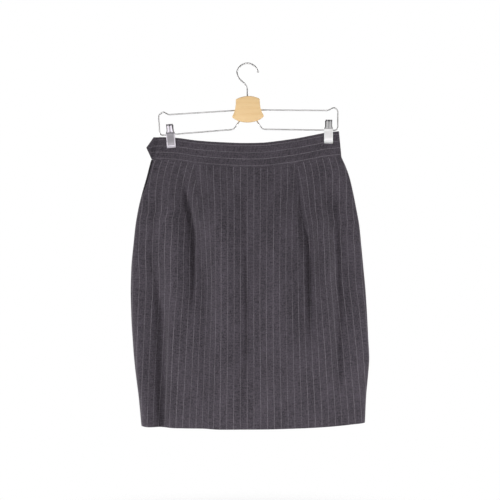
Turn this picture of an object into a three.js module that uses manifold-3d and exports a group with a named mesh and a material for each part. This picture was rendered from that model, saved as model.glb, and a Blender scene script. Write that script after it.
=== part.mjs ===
// A pinstripe pencil skirt that hangs by two clips from a wire and wood hanger.
// Millimetres, +Z up. The skirt's front faces -Y and the origin is the inner top of the hook.
import * as THREE from 'three';
import { mergeVertices } from 'three/addons/utils/BufferGeometryUtils.js';
import Module from 'manifold-3d';

const wasm = await Module();
wasm.setup();

// Cloth sizes
const CLOTH_WALL = 1.4;
const BAND_WALL = 2.4;
const SEAM_GAP = 0.3;
const BAND_OVER_CLOTH = 0.4;
const PANEL_ROWS = 22;
const FRONT_STEPS_PER_FOLD = 3;
const BACK_STEPS_PER_FOLD = 3;
const BAND_COLUMNS = 38;
const BAND_ROWS = 3;
const CAP_STEPS = 4;

// The skirt's side silhouettes, one row for each height
const SIDE_EDGES = [
  { z: -186, left: -191, right: 187.8 },
  { z: -204, left: -196, right: 196 },
  { z: -228, left: -202.2, right: 204.4 },
  { z: -256, left: -210.2, right: 211 },
  { z: -288, left: -218, right: 217.4 },
  { z: -324, left: -224.2, right: 223.8 },
  { z: -360, left: -228, right: 227.4 },
  { z: -408, left: -232.4, right: 232 },
  { z: -456, left: -233.6, right: 236.4 },
  { z: -504, left: -232.4, right: 239.4 },
  { z: -552, left: -229.6, right: 241.8 },
  { z: -588, left: -226.8, right: 243.6 },
  { z: -620, left: -223.4, right: 241.4 },
  { z: -664, left: -217.8, right: 237.4 },
  { z: -724, left: -212, right: 234.6 },
];

// The waistband's upper edge, which sags between the clips, and the skirt's hem
const BAND_TOP = [
  { x: -188, z: -146.4 },
  { x: -165, z: -146.6 },
  { x: -139, z: -148.2 },
  { x: -103, z: -153.2 },
  { x: -55, z: -157 },
  { x: 0, z: -158.8 },
  { x: 30, z: -158 },
  { x: 60, z: -154.8 },
  { x: 95, z: -149.6 },
  { x: 130, z: -142.8 },
  { x: 160, z: -137 },
  { x: 183, z: -134.6 },
];
const BAND_HEIGHT = [
  { x: -190, height: 45 },
  { x: 0, height: 48.4 },
  { x: 188, height: 50 },
];
const HEM = [
  { x: -212, z: -722.6 },
  { x: -183, z: -725 },
  { x: -110, z: -726.4 },
  { x: 0, z: -727.4 },
  { x: 105, z: -725 },
  { x: 185, z: -720.8 },
  { x: 235, z: -716.4 },
];

// The sections at which the fold tables below give their columns, from the waist seam to the hem
const SECTION_Z = [-204, -252, -302, -352, -432, -512, -592, -720];

// The front's crests and troughs, a row for each: its x and its depth in front of the side seams
const FRONT_FOLDS = [
  { name: 'shoulder_left', x: [-183, -199, -209, -217, -222, -218, -213, -199], depth: [2.5, 5, 7.5, 8, 9, 14, 17, 19] },
  { name: 'side_trough', x: [-169, -183, -192, -197, -184, -174, -174, -173], depth: [2.5, 4.5, 6.5, 8, 7, 3.5, 2.5, 2.5] },
  { name: 'left_ridge', x: [-155, -153, -151, -147, -145, -144, -146, -148], depth: [2.8, 12, 19, 22, 24, 23, 21, 18] },
  { name: 'dart_trough', x: [-133, -125, -114, -110, -110, -114, -115, -115], depth: [2.9, 3.5, 4.5, 6, 9, 17, 19, 19] },
  { name: 'left_dart', x: [-104, -102.6, -99, -91, -88, -87, -89, -89], depth: [6, 12.5, 19, 15, 10, 15, 18, 19] },
  { name: 'left_plateau', x: [-51, -51, -55, -54, -50, -49, -51, -58], depth: [9.4, 23, 36, 39, 39, 38, 36, 31] },
  { name: 'centre_trough', x: [-3, -4, -2, -1, -1, 0, 3, 1], depth: [9.6, 13, 19, 23, 25, 24, 24, 27] },
  { name: 'right_plateau', x: [45, 45, 45, 41, 41, 44, 52, 49], depth: [9.6, 18, 30, 35, 39, 39, 38, 29] },
  { name: 'right_foot', x: [84, 85, 88, 91, 93, 96, 101, 101], depth: [7.5, 13, 16, 18, 22, 26, 29, 28] },
  { name: 'right_dart', x: [100, 101.8, 107, 121, 126, 124, 126, 129], depth: [4.7, 5, 6, 8, 10.5, 16, 24, 27] },
  { name: 'right_ridge', x: [135, 137, 143, 147, 152, 158, 157, 165], depth: [4, 17, 28, 33, 33, 31, 30, 24] },
  { name: 'right_dent', x: [161, 163, 170, 175, 178, 182, 181, 190], depth: [2.5, 4.5, 12, 15, 16, 17, 18, 19] },
  { name: 'shoulder_right', x: [180, 195, 205, 211, 216, 219, 221, 220], depth: [2.5, 5.5, 6.5, 8.5, 10.5, 12.5, 12.5, 14] },
];

// The back is plainer: fewer folds, in the same columns, with the depth behind the side seams
const BACK_FOLDS = [
  { name: 'shoulder_left', x: [-183, -197, -207, -213, -218, -216, -211, -197], depth: [3.3, 5.4, 8, 9, 10, 11, 12, 12] },
  { name: 'left_ridge', x: [-160, -158, -156, -155, -156, -155, -152, -148], depth: [2.4, 8, 13, 16, 17, 17, 16, 15] },
  { name: 'left_dart', x: [-88, -90, -93, -102, -106, -108, -108, -106], depth: [6.5, 9, 11, 11, 12, 13, 13, 13] },
  { name: 'left_crown', x: [-45, -47, -49, -52, -55, -57, -58, -58], depth: [8.4, 13, 18, 21, 22, 22, 21, 19] },
  { name: 'centre_back', x: [0, 0, 2, 3, 4, 4, 5, 5], depth: [8.6, 12, 16, 18, 19, 19, 18, 17] },
  { name: 'right_crown', x: [48, 50, 52, 56, 60, 63, 64, 64], depth: [8.4, 13, 18, 21, 22, 21, 20, 18] },
  { name: 'right_dart', x: [90, 92, 95, 106, 112, 116, 118, 118], depth: [6.5, 9, 11, 11, 12, 12, 13, 13] },
  { name: 'right_ridge', x: [160, 160, 160, 161, 165, 168, 169, 167], depth: [2.4, 8, 13, 16, 17, 17, 16, 15] },
  { name: 'shoulder_right', x: [180, 193, 203, 209, 215, 219, 221, 218], depth: [2.5, 5, 8, 9, 10, 11, 12, 12] },
];

// The waistband's ends: the front half is open at the left, where the back's pointed underlap shows
const BAND_LEFT_END = { topX: -177, bottomX: -188.6 };
const BAND_RIGHT_END = { topX: 183, bottomX: 187.8 };
const UNDERLAP = { tipX: -202.4, tipZ: -167.2, tipHalf: 0.6, bottomX: -191.8, bottomZ: -191, topX: -188 };
const UNDERLAP_COLUMNS = [UNDERLAP.tipX, -198.5, -195, UNDERLAP.bottomX, UNDERLAP.topX];
const BACK_BAND_DROP = 1;

// The side opening gapes a little below the band, and the zip's tape lies in it
const OPENING = { inset: 4, topZ: -236, endZ: -282 };
const ZIP = { length: 178, width: 10, thickness: 0.7, fromEdge: 4.6, rows: 18 };

// Hanger sizes
const HOOK_WIRE = 1.5;
const HOOK_ARC = { centreZ: -19.7, radius: 21.2, from: 172, to: 16, count: 9 };
const HOOK_STEM = [
  [-0.4, -74],
  [-0.4, -60],
  [-1, -48.5],
  [-5.5, -39.6],
  [-13, -32.6],
  [-18.6, -26],
];
const HOOK_BALL = { x: 20.8, z: -15, radius: 2.3 };
const FRAME_WIRE = 1.3;
const WIRE_SIDES = 8;
const WIRE_CLEARANCE = 0.3;
const WIRE_IN_BLOCK = 8;
const BLOCK = {
  depth: 12,
  bevel: 1.2,
  topLeft: [-23.4, -71],
  topMiddle: [2, -58.4],
  topRight: [24.6, -70],
  waistLeft: [-22.6, -93],
  waistRight: [24.2, -92],
  flareLeft: [-31, -106],
  flareRight: [33, -104],
  bottomLeft: [-15, -121],
  bottomRight: [19, -120],
};

// The wire loops beside the block, as corner points with the radius that rounds each
const FRAME_LEFT = [
  { x: -19, z: -92.6, round: 0 },
  { x: -158, z: -101.4, round: 3 },
  { x: -168.5, z: -95.4, round: 4 },
  { x: -178, z: -102.6, round: 5 },
  { x: -175.4, z: -142.9, round: 8 },
  { x: -27.4, z: -130.8, round: 6 },
  { x: -12.2, z: -108.6, round: 0 },
];
const FRAME_RIGHT = [
  { x: 21, z: -91.9, round: 0 },
  { x: 160.5, z: -93, round: 3 },
  { x: 173.5, z: -86.6, round: 4 },
  { x: 180.6, z: -92.4, round: 5 },
  { x: 180.6, z: -132.7, round: 8 },
  { x: 29.6, z: -130.5, round: 6 },
  { x: 15.2, z: -108.6, round: 0 },
];

// The clips, each on a sleeve that slides on the lower rail; its rows run down the plate's side view
const CLIP_HALF_WIDTH = { jaw: 9.2, handle: 6.6 };
const CLIP_PLATE = 1.1;
const CLIP_CROWN = 1.1;
const CLIP_COLUMNS = 6;
const CLIP_PROFILE = [
  { out: 12.4, z: 19.6, width: 0, crown: 0.4 },
  { out: 10, z: 14, width: 0, crown: 0.8 },
  { out: 7.4, z: 7.6, width: 0.1, crown: 1 },
  { out: 5.6, z: 2.6, width: 1, crown: 1 },
  { out: 5.1, z: -2, width: 1, crown: 0.6 },
  { out: 5.5, z: -9, width: 1, crown: 0.6 },
  { out: 5.7, z: -15, width: 1, crown: 0.5 },
  { out: 5.2, z: -20.6, width: 1, crown: 0.2 },
  { out: 4.9, z: -23.6, width: 1, crown: 0 },
  { out: 6.4, z: -26.2, width: 1, crown: 0 },
];
const SLEEVE = { radius: 3.5, length: 15, sides: 20 };
const CLIPS = [
  { side: 'left', x: -154, railFrom: 4, rail: FRAME_LEFT },
  { side: 'right', x: 162, railFrom: 4, rail: FRAME_RIGHT },
];

/** Slopes for a curve through the points that never overshoots them. */
function monotoneSlopes(xs, ys, flatEnds) {
  const last = xs.length - 1;
  const rise = xs.slice(1).map((x, i) => (ys[i + 1] - ys[i]) / (x - xs[i]));
  const slopes = ys.map((_, i) => {
    if (i === 0 || i === last) {
      return flatEnds ? 0 : rise[Math.min(i, last - 1)];
    }
    const before = rise[i - 1];
    const after = rise[i];
    return before * after > 0 ? (2 * before * after) / (before + after) : 0;
  });
  return slopes;
}

/** A smooth function through the points (xs, ys). */
function smoothCurve(xs, ys, flatEnds = false) {
  const slopes = monotoneSlopes(xs, ys, flatEnds);
  return (x) => {
    const at = THREE.MathUtils.clamp(x, xs[0], xs[xs.length - 1]);
    let i = 0;
    while (i < xs.length - 2 && at > xs[i + 1]) {
      i += 1;
    }
    const h = xs[i + 1] - xs[i];
    const t = (at - xs[i]) / h;
    const u = 1 - t;
    const start = ys[i] * (1 + 2 * t) * u * u + slopes[i] * h * t * u * u;
    return start + ys[i + 1] * (1 + 2 * u) * t * t - slopes[i + 1] * h * u * t * t;
  };
}

/** A smooth function of one column of a table, against another. */
function column(rows, from, to) {
  const ordered = [...rows].sort((a, b) => a[from] - b[from]);
  return smoothCurve(ordered.map((row) => row[from]), ordered.map((row) => row[to]));
}

const leftEdge = column(SIDE_EDGES, 'z', 'left');
const rightEdge = column(SIDE_EDGES, 'z', 'right');
const bandTop = column(BAND_TOP, 'x', 'z');
const bandHeight = column(BAND_HEIGHT, 'x', 'height');
const hem = column(HEM, 'x', 'z');
const seam = (x) => bandTop(x) - bandHeight(x);
const mix = THREE.MathUtils.lerp;

/** How far the front's side edge is drawn in where the side opening gapes. */
function openingInset(z) {
  return OPENING.inset * (1 - THREE.MathUtils.smoothstep(-z, -OPENING.topZ, -OPENING.endZ));
}

/** One sheet of cloth between the side edges, bent into the folds of its table. */
class Sheet {
  constructor(folds, inset) {
    const heights = [...SECTION_Z].reverse();
    this.lineX = folds.map((fold) => smoothCurve(heights, [...fold.x].reverse()));
    this.lineDepth = folds.map((fold) => smoothCurve(heights, [...fold.depth].reverse()));
    this.inset = inset;
    this.count = folds.length;
  }

  /** The place across the sheet and its depth, for fold number c (0 and count + 1 are the edges). */
  at(c, z) {
    const xs = this.lineX.map((line) => line(z));
    const depths = this.lineDepth.map((line) => line(z));
    const left = leftEdge(z) + this.inset(z);
    if (c <= 1) {
      const turn = (c * Math.PI) / 2;
      return { x: left + (xs[0] - left) * (1 - Math.cos(turn)), depth: depths[0] * Math.sin(turn) };
    }
    if (c >= this.count) {
      const turn = ((this.count + 1 - c) * Math.PI) / 2;
      const right = rightEdge(z);
      const shoulder = this.count - 1;
      const x = right + (xs[shoulder] - right) * (1 - Math.cos(turn));
      return { x, depth: depths[shoulder] * Math.sin(turn) };
    }
    const order = xs.map((_, i) => i + 1);
    const x = smoothCurve(order, xs)(c);
    return { x, depth: smoothCurve(xs, depths, true)(x) };
  }

  /** The points of the sheet, in rows from the waist seam to the hem. */
  grid(stepsPerFold, rows, side) {
    const columns = (this.count + 1) * stepsPerFold;
    const across = [...Array(columns + 1).keys()].map((i) => i / stepsPerFold);
    return [...Array(rows + 1).keys()].map((j) =>
      across.map((c) => {
        const top = seam(this.at(c, SECTION_Z[0]).x) - SEAM_GAP;
        const bottom = hem(this.at(c, SECTION_Z[SECTION_Z.length - 1]).x);
        const z = mix(top, bottom, j / rows);
        const { x, depth } = this.at(c, z);
        return new THREE.Vector3(x, side * (SEAM_GAP / 2 + depth), z);
      }),
    );
  }

  /** Depth of the waistband at x, which follows the sheet's top section. */
  bandDepth(x) {
    const xs = this.lineX.map((line) => line(SECTION_Z[0]));
    const depths = this.lineDepth.map((line) => line(SECTION_Z[0]));
    return BAND_OVER_CLOTH + smoothCurve(xs, depths, true)(x);
  }
}

const frontSheet = new Sheet(FRONT_FOLDS, openingInset);
const backSheet = new Sheet(BACK_FOLDS, () => 0);

/** Normals of a grid of points, by differences along its rows and columns. */
function gridNormals(grid, facing) {
  const lastRow = grid.length - 1;
  const lastColumn = grid[0].length - 1;
  return grid.map((row, j) =>
    row.map((_, i) => {
      const along = grid[j][Math.min(i + 1, lastColumn)].clone().sub(grid[j][Math.max(i - 1, 0)]);
      const down = grid[Math.min(j + 1, lastRow)][i].clone().sub(grid[Math.max(j - 1, 0)][i]);
      return along.cross(down).normalize().multiplyScalar(facing);
    }),
  );
}

/** A closed solid from a list of triangle corners, with its faces turned out. */
function closedBody(points, triangles) {
  let volume = 0;
  const a = new THREE.Vector3();
  for (const [i, j, k] of triangles) {
    volume += a.copy(points[j]).cross(points[k]).dot(points[i]);
  }
  const ordered = volume > 0 ? triangles : triangles.map(([i, j, k]) => [i, k, j]);
  const geometry = new THREE.BufferGeometry();
  geometry.setFromPoints(points);
  geometry.setIndex(ordered.flat());
  geometry.computeVertexNormals();
  return geometry;
}

/** A wall whose outer face is the grid; the caller may bend the normals at the rims. */
function shell(grid, wall, facing, squareRim) {
  const rows = grid.length;
  const columns = grid[0].length;
  const normals = gridNormals(grid, facing);
  normals.forEach((row, j) =>
    row.forEach((normal, i) => {
      squareRim(normal, i, j, columns - 1, rows - 1);
      normal.normalize();
    }),
  );
  const outer = grid.flat();
  const inner = grid.flatMap((row, j) => row.map((p, i) => p.clone().addScaledVector(normals[j][i], -wall)));
  const offset = outer.length;
  const at = (j, i) => j * columns + i;
  const triangles = [];
  const quad = (p, q, r, s) => triangles.push([p, q, r], [p, r, s]);
  for (let j = 0; j < rows - 1; j += 1) {
    for (let i = 0; i < columns - 1; i += 1) {
      quad(at(j, i), at(j + 1, i), at(j + 1, i + 1), at(j, i + 1));
      quad(offset + at(j, i), offset + at(j, i + 1), offset + at(j + 1, i + 1), offset + at(j + 1, i));
    }
  }
  for (let i = 0; i < columns - 1; i += 1) {
    quad(at(0, i), at(0, i + 1), offset + at(0, i + 1), offset + at(0, i));
    quad(at(rows - 1, i + 1), at(rows - 1, i), offset + at(rows - 1, i), offset + at(rows - 1, i + 1));
  }
  for (let j = 0; j < rows - 1; j += 1) {
    quad(at(j + 1, 0), at(j, 0), offset + at(j, 0), offset + at(j + 1, 0));
    quad(at(j, columns - 1), at(j + 1, columns - 1), offset + at(j + 1, columns - 1), offset + at(j, columns - 1));
  }
  return closedBody([...outer, ...inner], triangles);
}

/** Panels: the side edges face each other squarely, and the top and hem are cut level. */
function panelRim(normal, i, j, lastColumn, lastRow) {
  if (i === 0 || i === lastColumn) {
    normal.y = 0;
  }
  if (j === 0 || j === lastRow) {
    normal.z = 0;
  }
}

/** Waistband: only its right end meets the other half edge to edge. */
function bandRim(normal, i, j, lastColumn, lastRow) {
  if (i === lastColumn) {
    normal.y = 0;
  }
  if (j === 0 || j === lastRow) {
    normal.z = 0;
  }
}

/** One half of the waistband: its columns, then the round turn at the right side seam. */
function bandGrid(sheet, side, columns, topOf, bottomOf) {
  const turns = [...Array(CAP_STEPS).keys()].map((k) => ((k + 1) * Math.PI) / 2 / CAP_STEPS);
  return [...Array(BAND_ROWS + 1).keys()].map((j) => {
    const down = j / BAND_ROWS;
    const right = mix(BAND_RIGHT_END.topX, BAND_RIGHT_END.bottomX, down);
    const radius = sheet.bandDepth(right);
    const xs = columns(down, right - radius);
    const flat = xs.map((x) => ({ x, depth: sheet.bandDepth(x) }));
    const cap = turns.map((turn) => ({
      x: right - radius + radius * Math.sin(turn),
      depth: radius * Math.cos(turn),
    }));
    return [...flat, ...cap].map(({ x, depth }) => {
      const z = mix(topOf(x), bottomOf(x), down);
      return new THREE.Vector3(x, side * (SEAM_GAP / 2 + depth), z);
    });
  });
}

function frontBand() {
  const columns = (down, to) => {
    const from = mix(BAND_LEFT_END.topX, BAND_LEFT_END.bottomX, down);
    return [...Array(BAND_COLUMNS + 1).keys()].map((i) => mix(from, to, i / BAND_COLUMNS));
  };
  return shell(bandGrid(frontSheet, -1, columns, bandTop, seam), BAND_WALL, -1, bandRim);
}

/** The back half, whose left end runs on as the pointed underlap. */
function backBand() {
  const plain = BAND_COLUMNS - UNDERLAP_COLUMNS.length;
  const columns = (down, to) => [
    ...UNDERLAP_COLUMNS,
    ...[...Array(plain).keys()].map((i) => mix(UNDERLAP.topX, to, (i + 1) / plain)),
  ];
  const topOf = (x) => {
    if (x >= UNDERLAP.topX) {
      return bandTop(x) - BACK_BAND_DROP * THREE.MathUtils.smoothstep(x, UNDERLAP.topX, -150);
    }
    const t = (x - UNDERLAP.tipX) / (UNDERLAP.topX - UNDERLAP.tipX);
    return mix(UNDERLAP.tipZ + UNDERLAP.tipHalf, bandTop(UNDERLAP.topX), t);
  };
  const bottomOf = (x) => {
    if (x >= UNDERLAP.bottomX) {
      return mix(UNDERLAP.bottomZ, seam(x), THREE.MathUtils.smoothstep(x, UNDERLAP.bottomX, -180));
    }
    const t = (x - UNDERLAP.tipX) / (UNDERLAP.bottomX - UNDERLAP.tipX);
    return mix(UNDERLAP.tipZ - UNDERLAP.tipHalf, UNDERLAP.bottomZ, t);
  };
  return shell(bandGrid(backSheet, 1, columns, topOf, bottomOf), BAND_WALL, 1, bandRim);
}

/** The tape of the concealed zip, flat behind the side opening. */
function zipTape() {
  const top = seam(leftEdge(SECTION_Z[0])) - 2 * SEAM_GAP;
  const grid = [...Array(ZIP.rows + 1).keys()].map((j) => {
    const z = top - (ZIP.length * j) / ZIP.rows;
    const from = leftEdge(z) + ZIP.fromEdge;
    return [from, from + ZIP.width].map((x) => new THREE.Vector3(x, SEAM_GAP / 2, z));
  });
  return shell(grid, ZIP.thickness, -1, (normal) => normal.set(0, -1, 0));
}

/** A path of straight stretches with rounded corners, in the hanger's plane. */
function roundedPath(corners) {
  const path = new THREE.CurvePath();
  const points = corners.map(({ x, z }) => new THREE.Vector3(x, 0, z));
  let from = points[0];
  for (let i = 1; i < points.length - 1; i += 1) {
    const into = points[i].clone().add(points[i - 1].clone().sub(points[i]).setLength(corners[i].round));
    const out = points[i].clone().add(points[i + 1].clone().sub(points[i]).setLength(corners[i].round));
    path.add(new THREE.LineCurve3(from, into));
    path.add(new THREE.QuadraticBezierCurve3(into, points[i], out));
    from = out;
  }
  path.add(new THREE.LineCurve3(from, points[points.length - 1]));
  return path;
}

/** A round rod along a path. */
function rod(path, radius, steps, sides = WIRE_SIDES) {
  const section = new THREE.Shape();
  for (let i = 0; i < sides; i += 1) {
    const turn = (2 * Math.PI * i) / sides;
    const place = [radius * Math.cos(turn), radius * Math.sin(turn)];
    if (i === 0) {
      section.moveTo(...place);
    } else {
      section.lineTo(...place);
    }
  }
  section.closePath();
  return new THREE.ExtrudeGeometry(section, { steps, extrudePath: path, bevelEnabled: false });
}

/** The solid of a closed geometry, for joining and cutting. */
function toSolid(geometry) {
  const bare = geometry.clone();
  bare.deleteAttribute('normal');
  bare.deleteAttribute('uv');
  const merged = mergeVertices(bare, 1e-4);
  const mesh = new wasm.Mesh({
    numProp: 3,
    vertProperties: new Float32Array(merged.attributes.position.array),
    triVerts: new Uint32Array(merged.index.array),
  });
  mesh.merge();
  return new wasm.Manifold(mesh);
}

function toGeometry(solid) {
  const mesh = solid.getMesh();
  const geometry = new THREE.BufferGeometry();
  geometry.setAttribute('position', new THREE.BufferAttribute(new Float32Array(mesh.vertProperties), 3));
  geometry.setIndex(new THREE.BufferAttribute(new Uint32Array(mesh.triVerts), 1));
  geometry.computeVertexNormals();
  return geometry;
}

/** The hook's wire: a straight stem, a bend, and an arc that ends in a small ball. */
function hookPath() {
  const arc = [...Array(HOOK_ARC.count).keys()].map((i) => {
    const turn = THREE.MathUtils.degToRad(mix(HOOK_ARC.from, HOOK_ARC.to, i / (HOOK_ARC.count - 1)));
    return [HOOK_ARC.radius * Math.cos(turn), HOOK_ARC.centreZ + HOOK_ARC.radius * Math.sin(turn)];
  });
  const points = [...HOOK_STEM, ...arc].map(([x, z]) => new THREE.Vector3(x, 0, z));
  return new THREE.CatmullRomCurve3(points, false, 'centripetal');
}

function hook() {
  const ball = new THREE.SphereGeometry(HOOK_BALL.radius, 12, 8);
  ball.translate(HOOK_BALL.x, 0, HOOK_BALL.z);
  return toGeometry(toSolid(rod(hookPath(), HOOK_WIRE, 44)).add(toSolid(ball)));
}

/** The wooden block, with a drilled hole for each wire that it holds. */
function block() {
  const outline = new THREE.Shape();
  outline.moveTo(...BLOCK.topLeft);
  outline.quadraticCurveTo(...BLOCK.topMiddle, ...BLOCK.topRight);
  outline.quadraticCurveTo(...BLOCK.waistRight, ...BLOCK.flareRight);
  outline.bezierCurveTo(...BLOCK.bottomRight, ...BLOCK.bottomLeft, ...BLOCK.flareLeft);
  outline.quadraticCurveTo(...BLOCK.waistLeft, ...BLOCK.topLeft);
  const body = new THREE.ExtrudeGeometry(outline, {
    depth: BLOCK.depth - 2 * BLOCK.bevel,
    bevelEnabled: true,
    bevelThickness: BLOCK.bevel,
    bevelSize: BLOCK.bevel,
    bevelOffset: -BLOCK.bevel,
    bevelSegments: 2,
    curveSegments: 10,
  });
  body.translate(0, 0, BLOCK.bevel - BLOCK.depth / 2);
  body.rotateX(Math.PI / 2);
  let solid = toSolid(body);
  const wires = [
    { corners: FRAME_LEFT, from: 0, to: 1 },
    { corners: FRAME_LEFT, from: 6, to: 5 },
    { corners: FRAME_RIGHT, from: 0, to: 1 },
    { corners: FRAME_RIGHT, from: 6, to: 5 },
  ].map(({ corners, from, to }) => [corners[from], corners[to], FRAME_WIRE]);
  const stem = HOOK_STEM.slice(0, 2).map(([x, z]) => ({ x, z }));
  wires.push([stem[0], stem[1], HOOK_WIRE]);
  for (const [inside, outside, radius] of wires) {
    const start = new THREE.Vector3(inside.x, 0, inside.z);
    const along = new THREE.Vector3(outside.x, 0, outside.z).sub(start).normalize();
    const bottom = start.clone().addScaledVector(along, -WIRE_CLEARANCE);
    const end = start.clone().addScaledVector(along, 3 * WIRE_IN_BLOCK);
    const drill = rod(new THREE.LineCurve3(bottom, end), radius + WIRE_CLEARANCE, 1, 12);
    solid = solid.subtract(toSolid(drill));
  }
  return toGeometry(solid);
}

/** A clip's pressed plate, from its side view and the width of each row. */
function clipPlate(side) {
  const grid = CLIP_PROFILE.map(({ out, z, width, crown }) => {
    const half = mix(CLIP_HALF_WIDTH.handle, CLIP_HALF_WIDTH.jaw, width);
    return [...Array(CLIP_COLUMNS + 1).keys()].map((i) => {
      const t = (2 * i) / CLIP_COLUMNS - 1;
      const bend = CLIP_CROWN * crown * t * t;
      return new THREE.Vector3(half * t, side * (out - bend), z);
    });
  });
  return shell(grid, CLIP_PLATE, side, (normal, i, j, lastColumn) => {
    if (i === 0 || i === lastColumn) {
      normal.x = 0;
    }
  });
}

/** The sleeve that carries the two plates and slides on the rail. */
function sleeve() {
  const bore = FRAME_WIRE + WIRE_CLEARANCE;
  const half = SLEEVE.length / 2;
  const profile = [
    [bore, -half],
    [SLEEVE.radius, -half],
    [SLEEVE.radius, half],
    [bore, half],
    [bore, -half],
  ].map(([r, y]) => new THREE.Vector2(r, y));
  const ring = new THREE.LatheGeometry(profile, SLEEVE.sides);
  ring.rotateZ(Math.PI / 2);
  return toGeometry(toSolid(ring));
}

const FINISHES = {
  cloth: { color: 0x4a454d, roughness: 0.9, metalness: 0 },
  zip: { color: 0x141316, roughness: 0.8, metalness: 0 },
  wire: { color: 0x9b9a98, roughness: 0.3, metalness: 1 },
  steel: { color: 0xc9c6c8, roughness: 0.28, metalness: 1 },
  wood: { color: 0xe5bd86, roughness: 0.55, metalness: 0 },
};

function part(name, geometry, finish) {
  const mesh = new THREE.Mesh(geometry, new THREE.MeshStandardMaterial(FINISHES[finish]));
  mesh.name = name;
  return mesh;
}

const skirt = new THREE.Group();
skirt.add(part('front_panel', shell(frontSheet.grid(FRONT_STEPS_PER_FOLD, PANEL_ROWS, -1), CLOTH_WALL, -1, panelRim), 'cloth'));
skirt.add(part('back_panel', shell(backSheet.grid(BACK_STEPS_PER_FOLD, PANEL_ROWS, 1), CLOTH_WALL, 1, panelRim), 'cloth'));
skirt.add(part('waistband_front', frontBand(), 'cloth'));
skirt.add(part('waistband_back', backBand(), 'cloth'));
skirt.add(part('side_zip', zipTape(), 'zip'));

const hanger = new THREE.Group();
hanger.add(part('hanger_hook', hook(), 'wire'));
hanger.add(part('hanger_block', block(), 'wood'));
hanger.add(part('frame_left', rod(roundedPath(FRAME_LEFT), FRAME_WIRE, 80), 'wire'));
hanger.add(part('frame_right', rod(roundedPath(FRAME_RIGHT), FRAME_WIRE, 80), 'wire'));

for (const { side, x, railFrom, rail } of CLIPS) {
  const outer = rail[railFrom];
  const inner = rail[railFrom + 1];
  const slope = (inner.z - outer.z) / (inner.x - outer.x);
  const clip = new THREE.Group();
  clip.position.set(x, 0, outer.z + slope * (x - outer.x));
  clip.rotation.y = -Math.atan(slope);
  clip.add(part(`clip_${side}_front`, clipPlate(-1), 'steel'));
  clip.add(part(`clip_${side}_back`, clipPlate(1), 'steel'));
  clip.add(part(`clip_${side}_sleeve`, sleeve(), 'steel'));
  hanger.add(clip);
}

const object = new THREE.Group();
object.add(skirt, hanger);
export default object;
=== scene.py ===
"""A pinstripe pencil skirt that hangs by two pinch clips from a wire and wood hanger.

The frame gives the solids. This script builds the cloth, its sewing, the finer shapes of the
hanger, the finishes, the floor, the lights and the camera. Sizes are millimetres in the frame's
own axes and become metres when a mesh is made.
"""

import logging
import math
from dataclasses import dataclass, field
from enum import Enum
from typing import Any, Callable, Mapping, Optional, Sequence

import bpy
import numpy as np
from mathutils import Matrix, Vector

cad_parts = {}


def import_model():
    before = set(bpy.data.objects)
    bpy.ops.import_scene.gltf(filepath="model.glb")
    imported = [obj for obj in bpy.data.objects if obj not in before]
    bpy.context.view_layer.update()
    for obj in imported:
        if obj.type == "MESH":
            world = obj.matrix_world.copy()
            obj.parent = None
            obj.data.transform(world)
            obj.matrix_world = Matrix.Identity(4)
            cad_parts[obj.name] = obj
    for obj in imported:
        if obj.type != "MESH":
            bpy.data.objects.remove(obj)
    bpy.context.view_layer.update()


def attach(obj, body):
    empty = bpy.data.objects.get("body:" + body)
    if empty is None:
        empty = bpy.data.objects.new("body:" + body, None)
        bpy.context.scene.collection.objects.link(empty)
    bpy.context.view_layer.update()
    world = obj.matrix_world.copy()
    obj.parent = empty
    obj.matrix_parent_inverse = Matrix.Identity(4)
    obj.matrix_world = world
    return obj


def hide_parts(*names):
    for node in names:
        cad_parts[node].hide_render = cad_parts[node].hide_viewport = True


LOG = logging.getLogger("skirt")
MM = 0.001
BODY = "root"
Array = np.ndarray


class Slot(Enum):
    """The material slots."""

    CLOTH = "cloth"
    ZIP = "zip"
    WIRE = "wire"
    STEEL = "steel"
    WOOD = "wood"


class Side(Enum):
    """Which half of the skirt a piece belongs to, as the sign of its Y."""

    FRONT = -1
    BACK = 1


def smooth_through(xs: Any, ys: Any, at: Any, flat_ends: bool = False) -> Array:
    """Reads a smooth curve that passes through points and never overshoots them.

    Args:
        xs: Places of the points, rising along the last axis.
        ys: Values at the points.
        at: Where the curve is read.
        flat_ends: Whether the curve leaves its end points level.

    Returns:
        The values at those places.
    """
    at = np.asarray(at, float)
    shape = at.shape + (np.shape(xs)[-1],)
    xs = np.broadcast_to(np.asarray(xs, float), shape)
    ys = np.broadcast_to(np.asarray(ys, float), shape)
    step = np.diff(xs, axis=-1)
    rise = np.diff(ys, axis=-1) / step
    product = rise[..., :-1] * rise[..., 1:]
    total = np.where(product > 0, rise[..., :-1] + rise[..., 1:], 1)
    inner = np.where(product > 0, 2 * product / total, 0)
    keep = 0 if flat_ends else 1
    slope = np.concatenate([keep * rise[..., :1], inner, keep * rise[..., -1:]], axis=-1)
    here = np.clip(at, xs[..., 0], xs[..., -1])
    span = np.clip((here[..., None] > xs[..., 1:]).sum(-1), 0, shape[-1] - 2)[..., None]

    def pick(values: Array, shift: int = 0) -> Array:
        """Takes each place's own value from the last axis."""
        return np.take_along_axis(values, span + shift, -1)[..., 0]

    height = pick(step)
    t = (here - pick(xs)) / height
    u = 1 - t
    start = pick(ys) * (1 + 2 * t) * u * u + pick(slope) * height * t * u * u
    return start + pick(ys, 1) * (1 + 2 * u) * t * t - pick(slope, 1) * height * u * t * t


def smooth_step(value: Any, low: float, high: float) -> Array:
    """Rises softly from 0 at low to 1 at high, or falls where low is the larger."""
    t = np.clip((np.asarray(value, float) - low) / (high - low), 0, 1)
    return t * t * (3 - 2 * t)


def blend_between(start: Any, end: Any, share: Any) -> Any:
    """A straight blend from start to end."""
    return start + (end - start) * share


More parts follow.
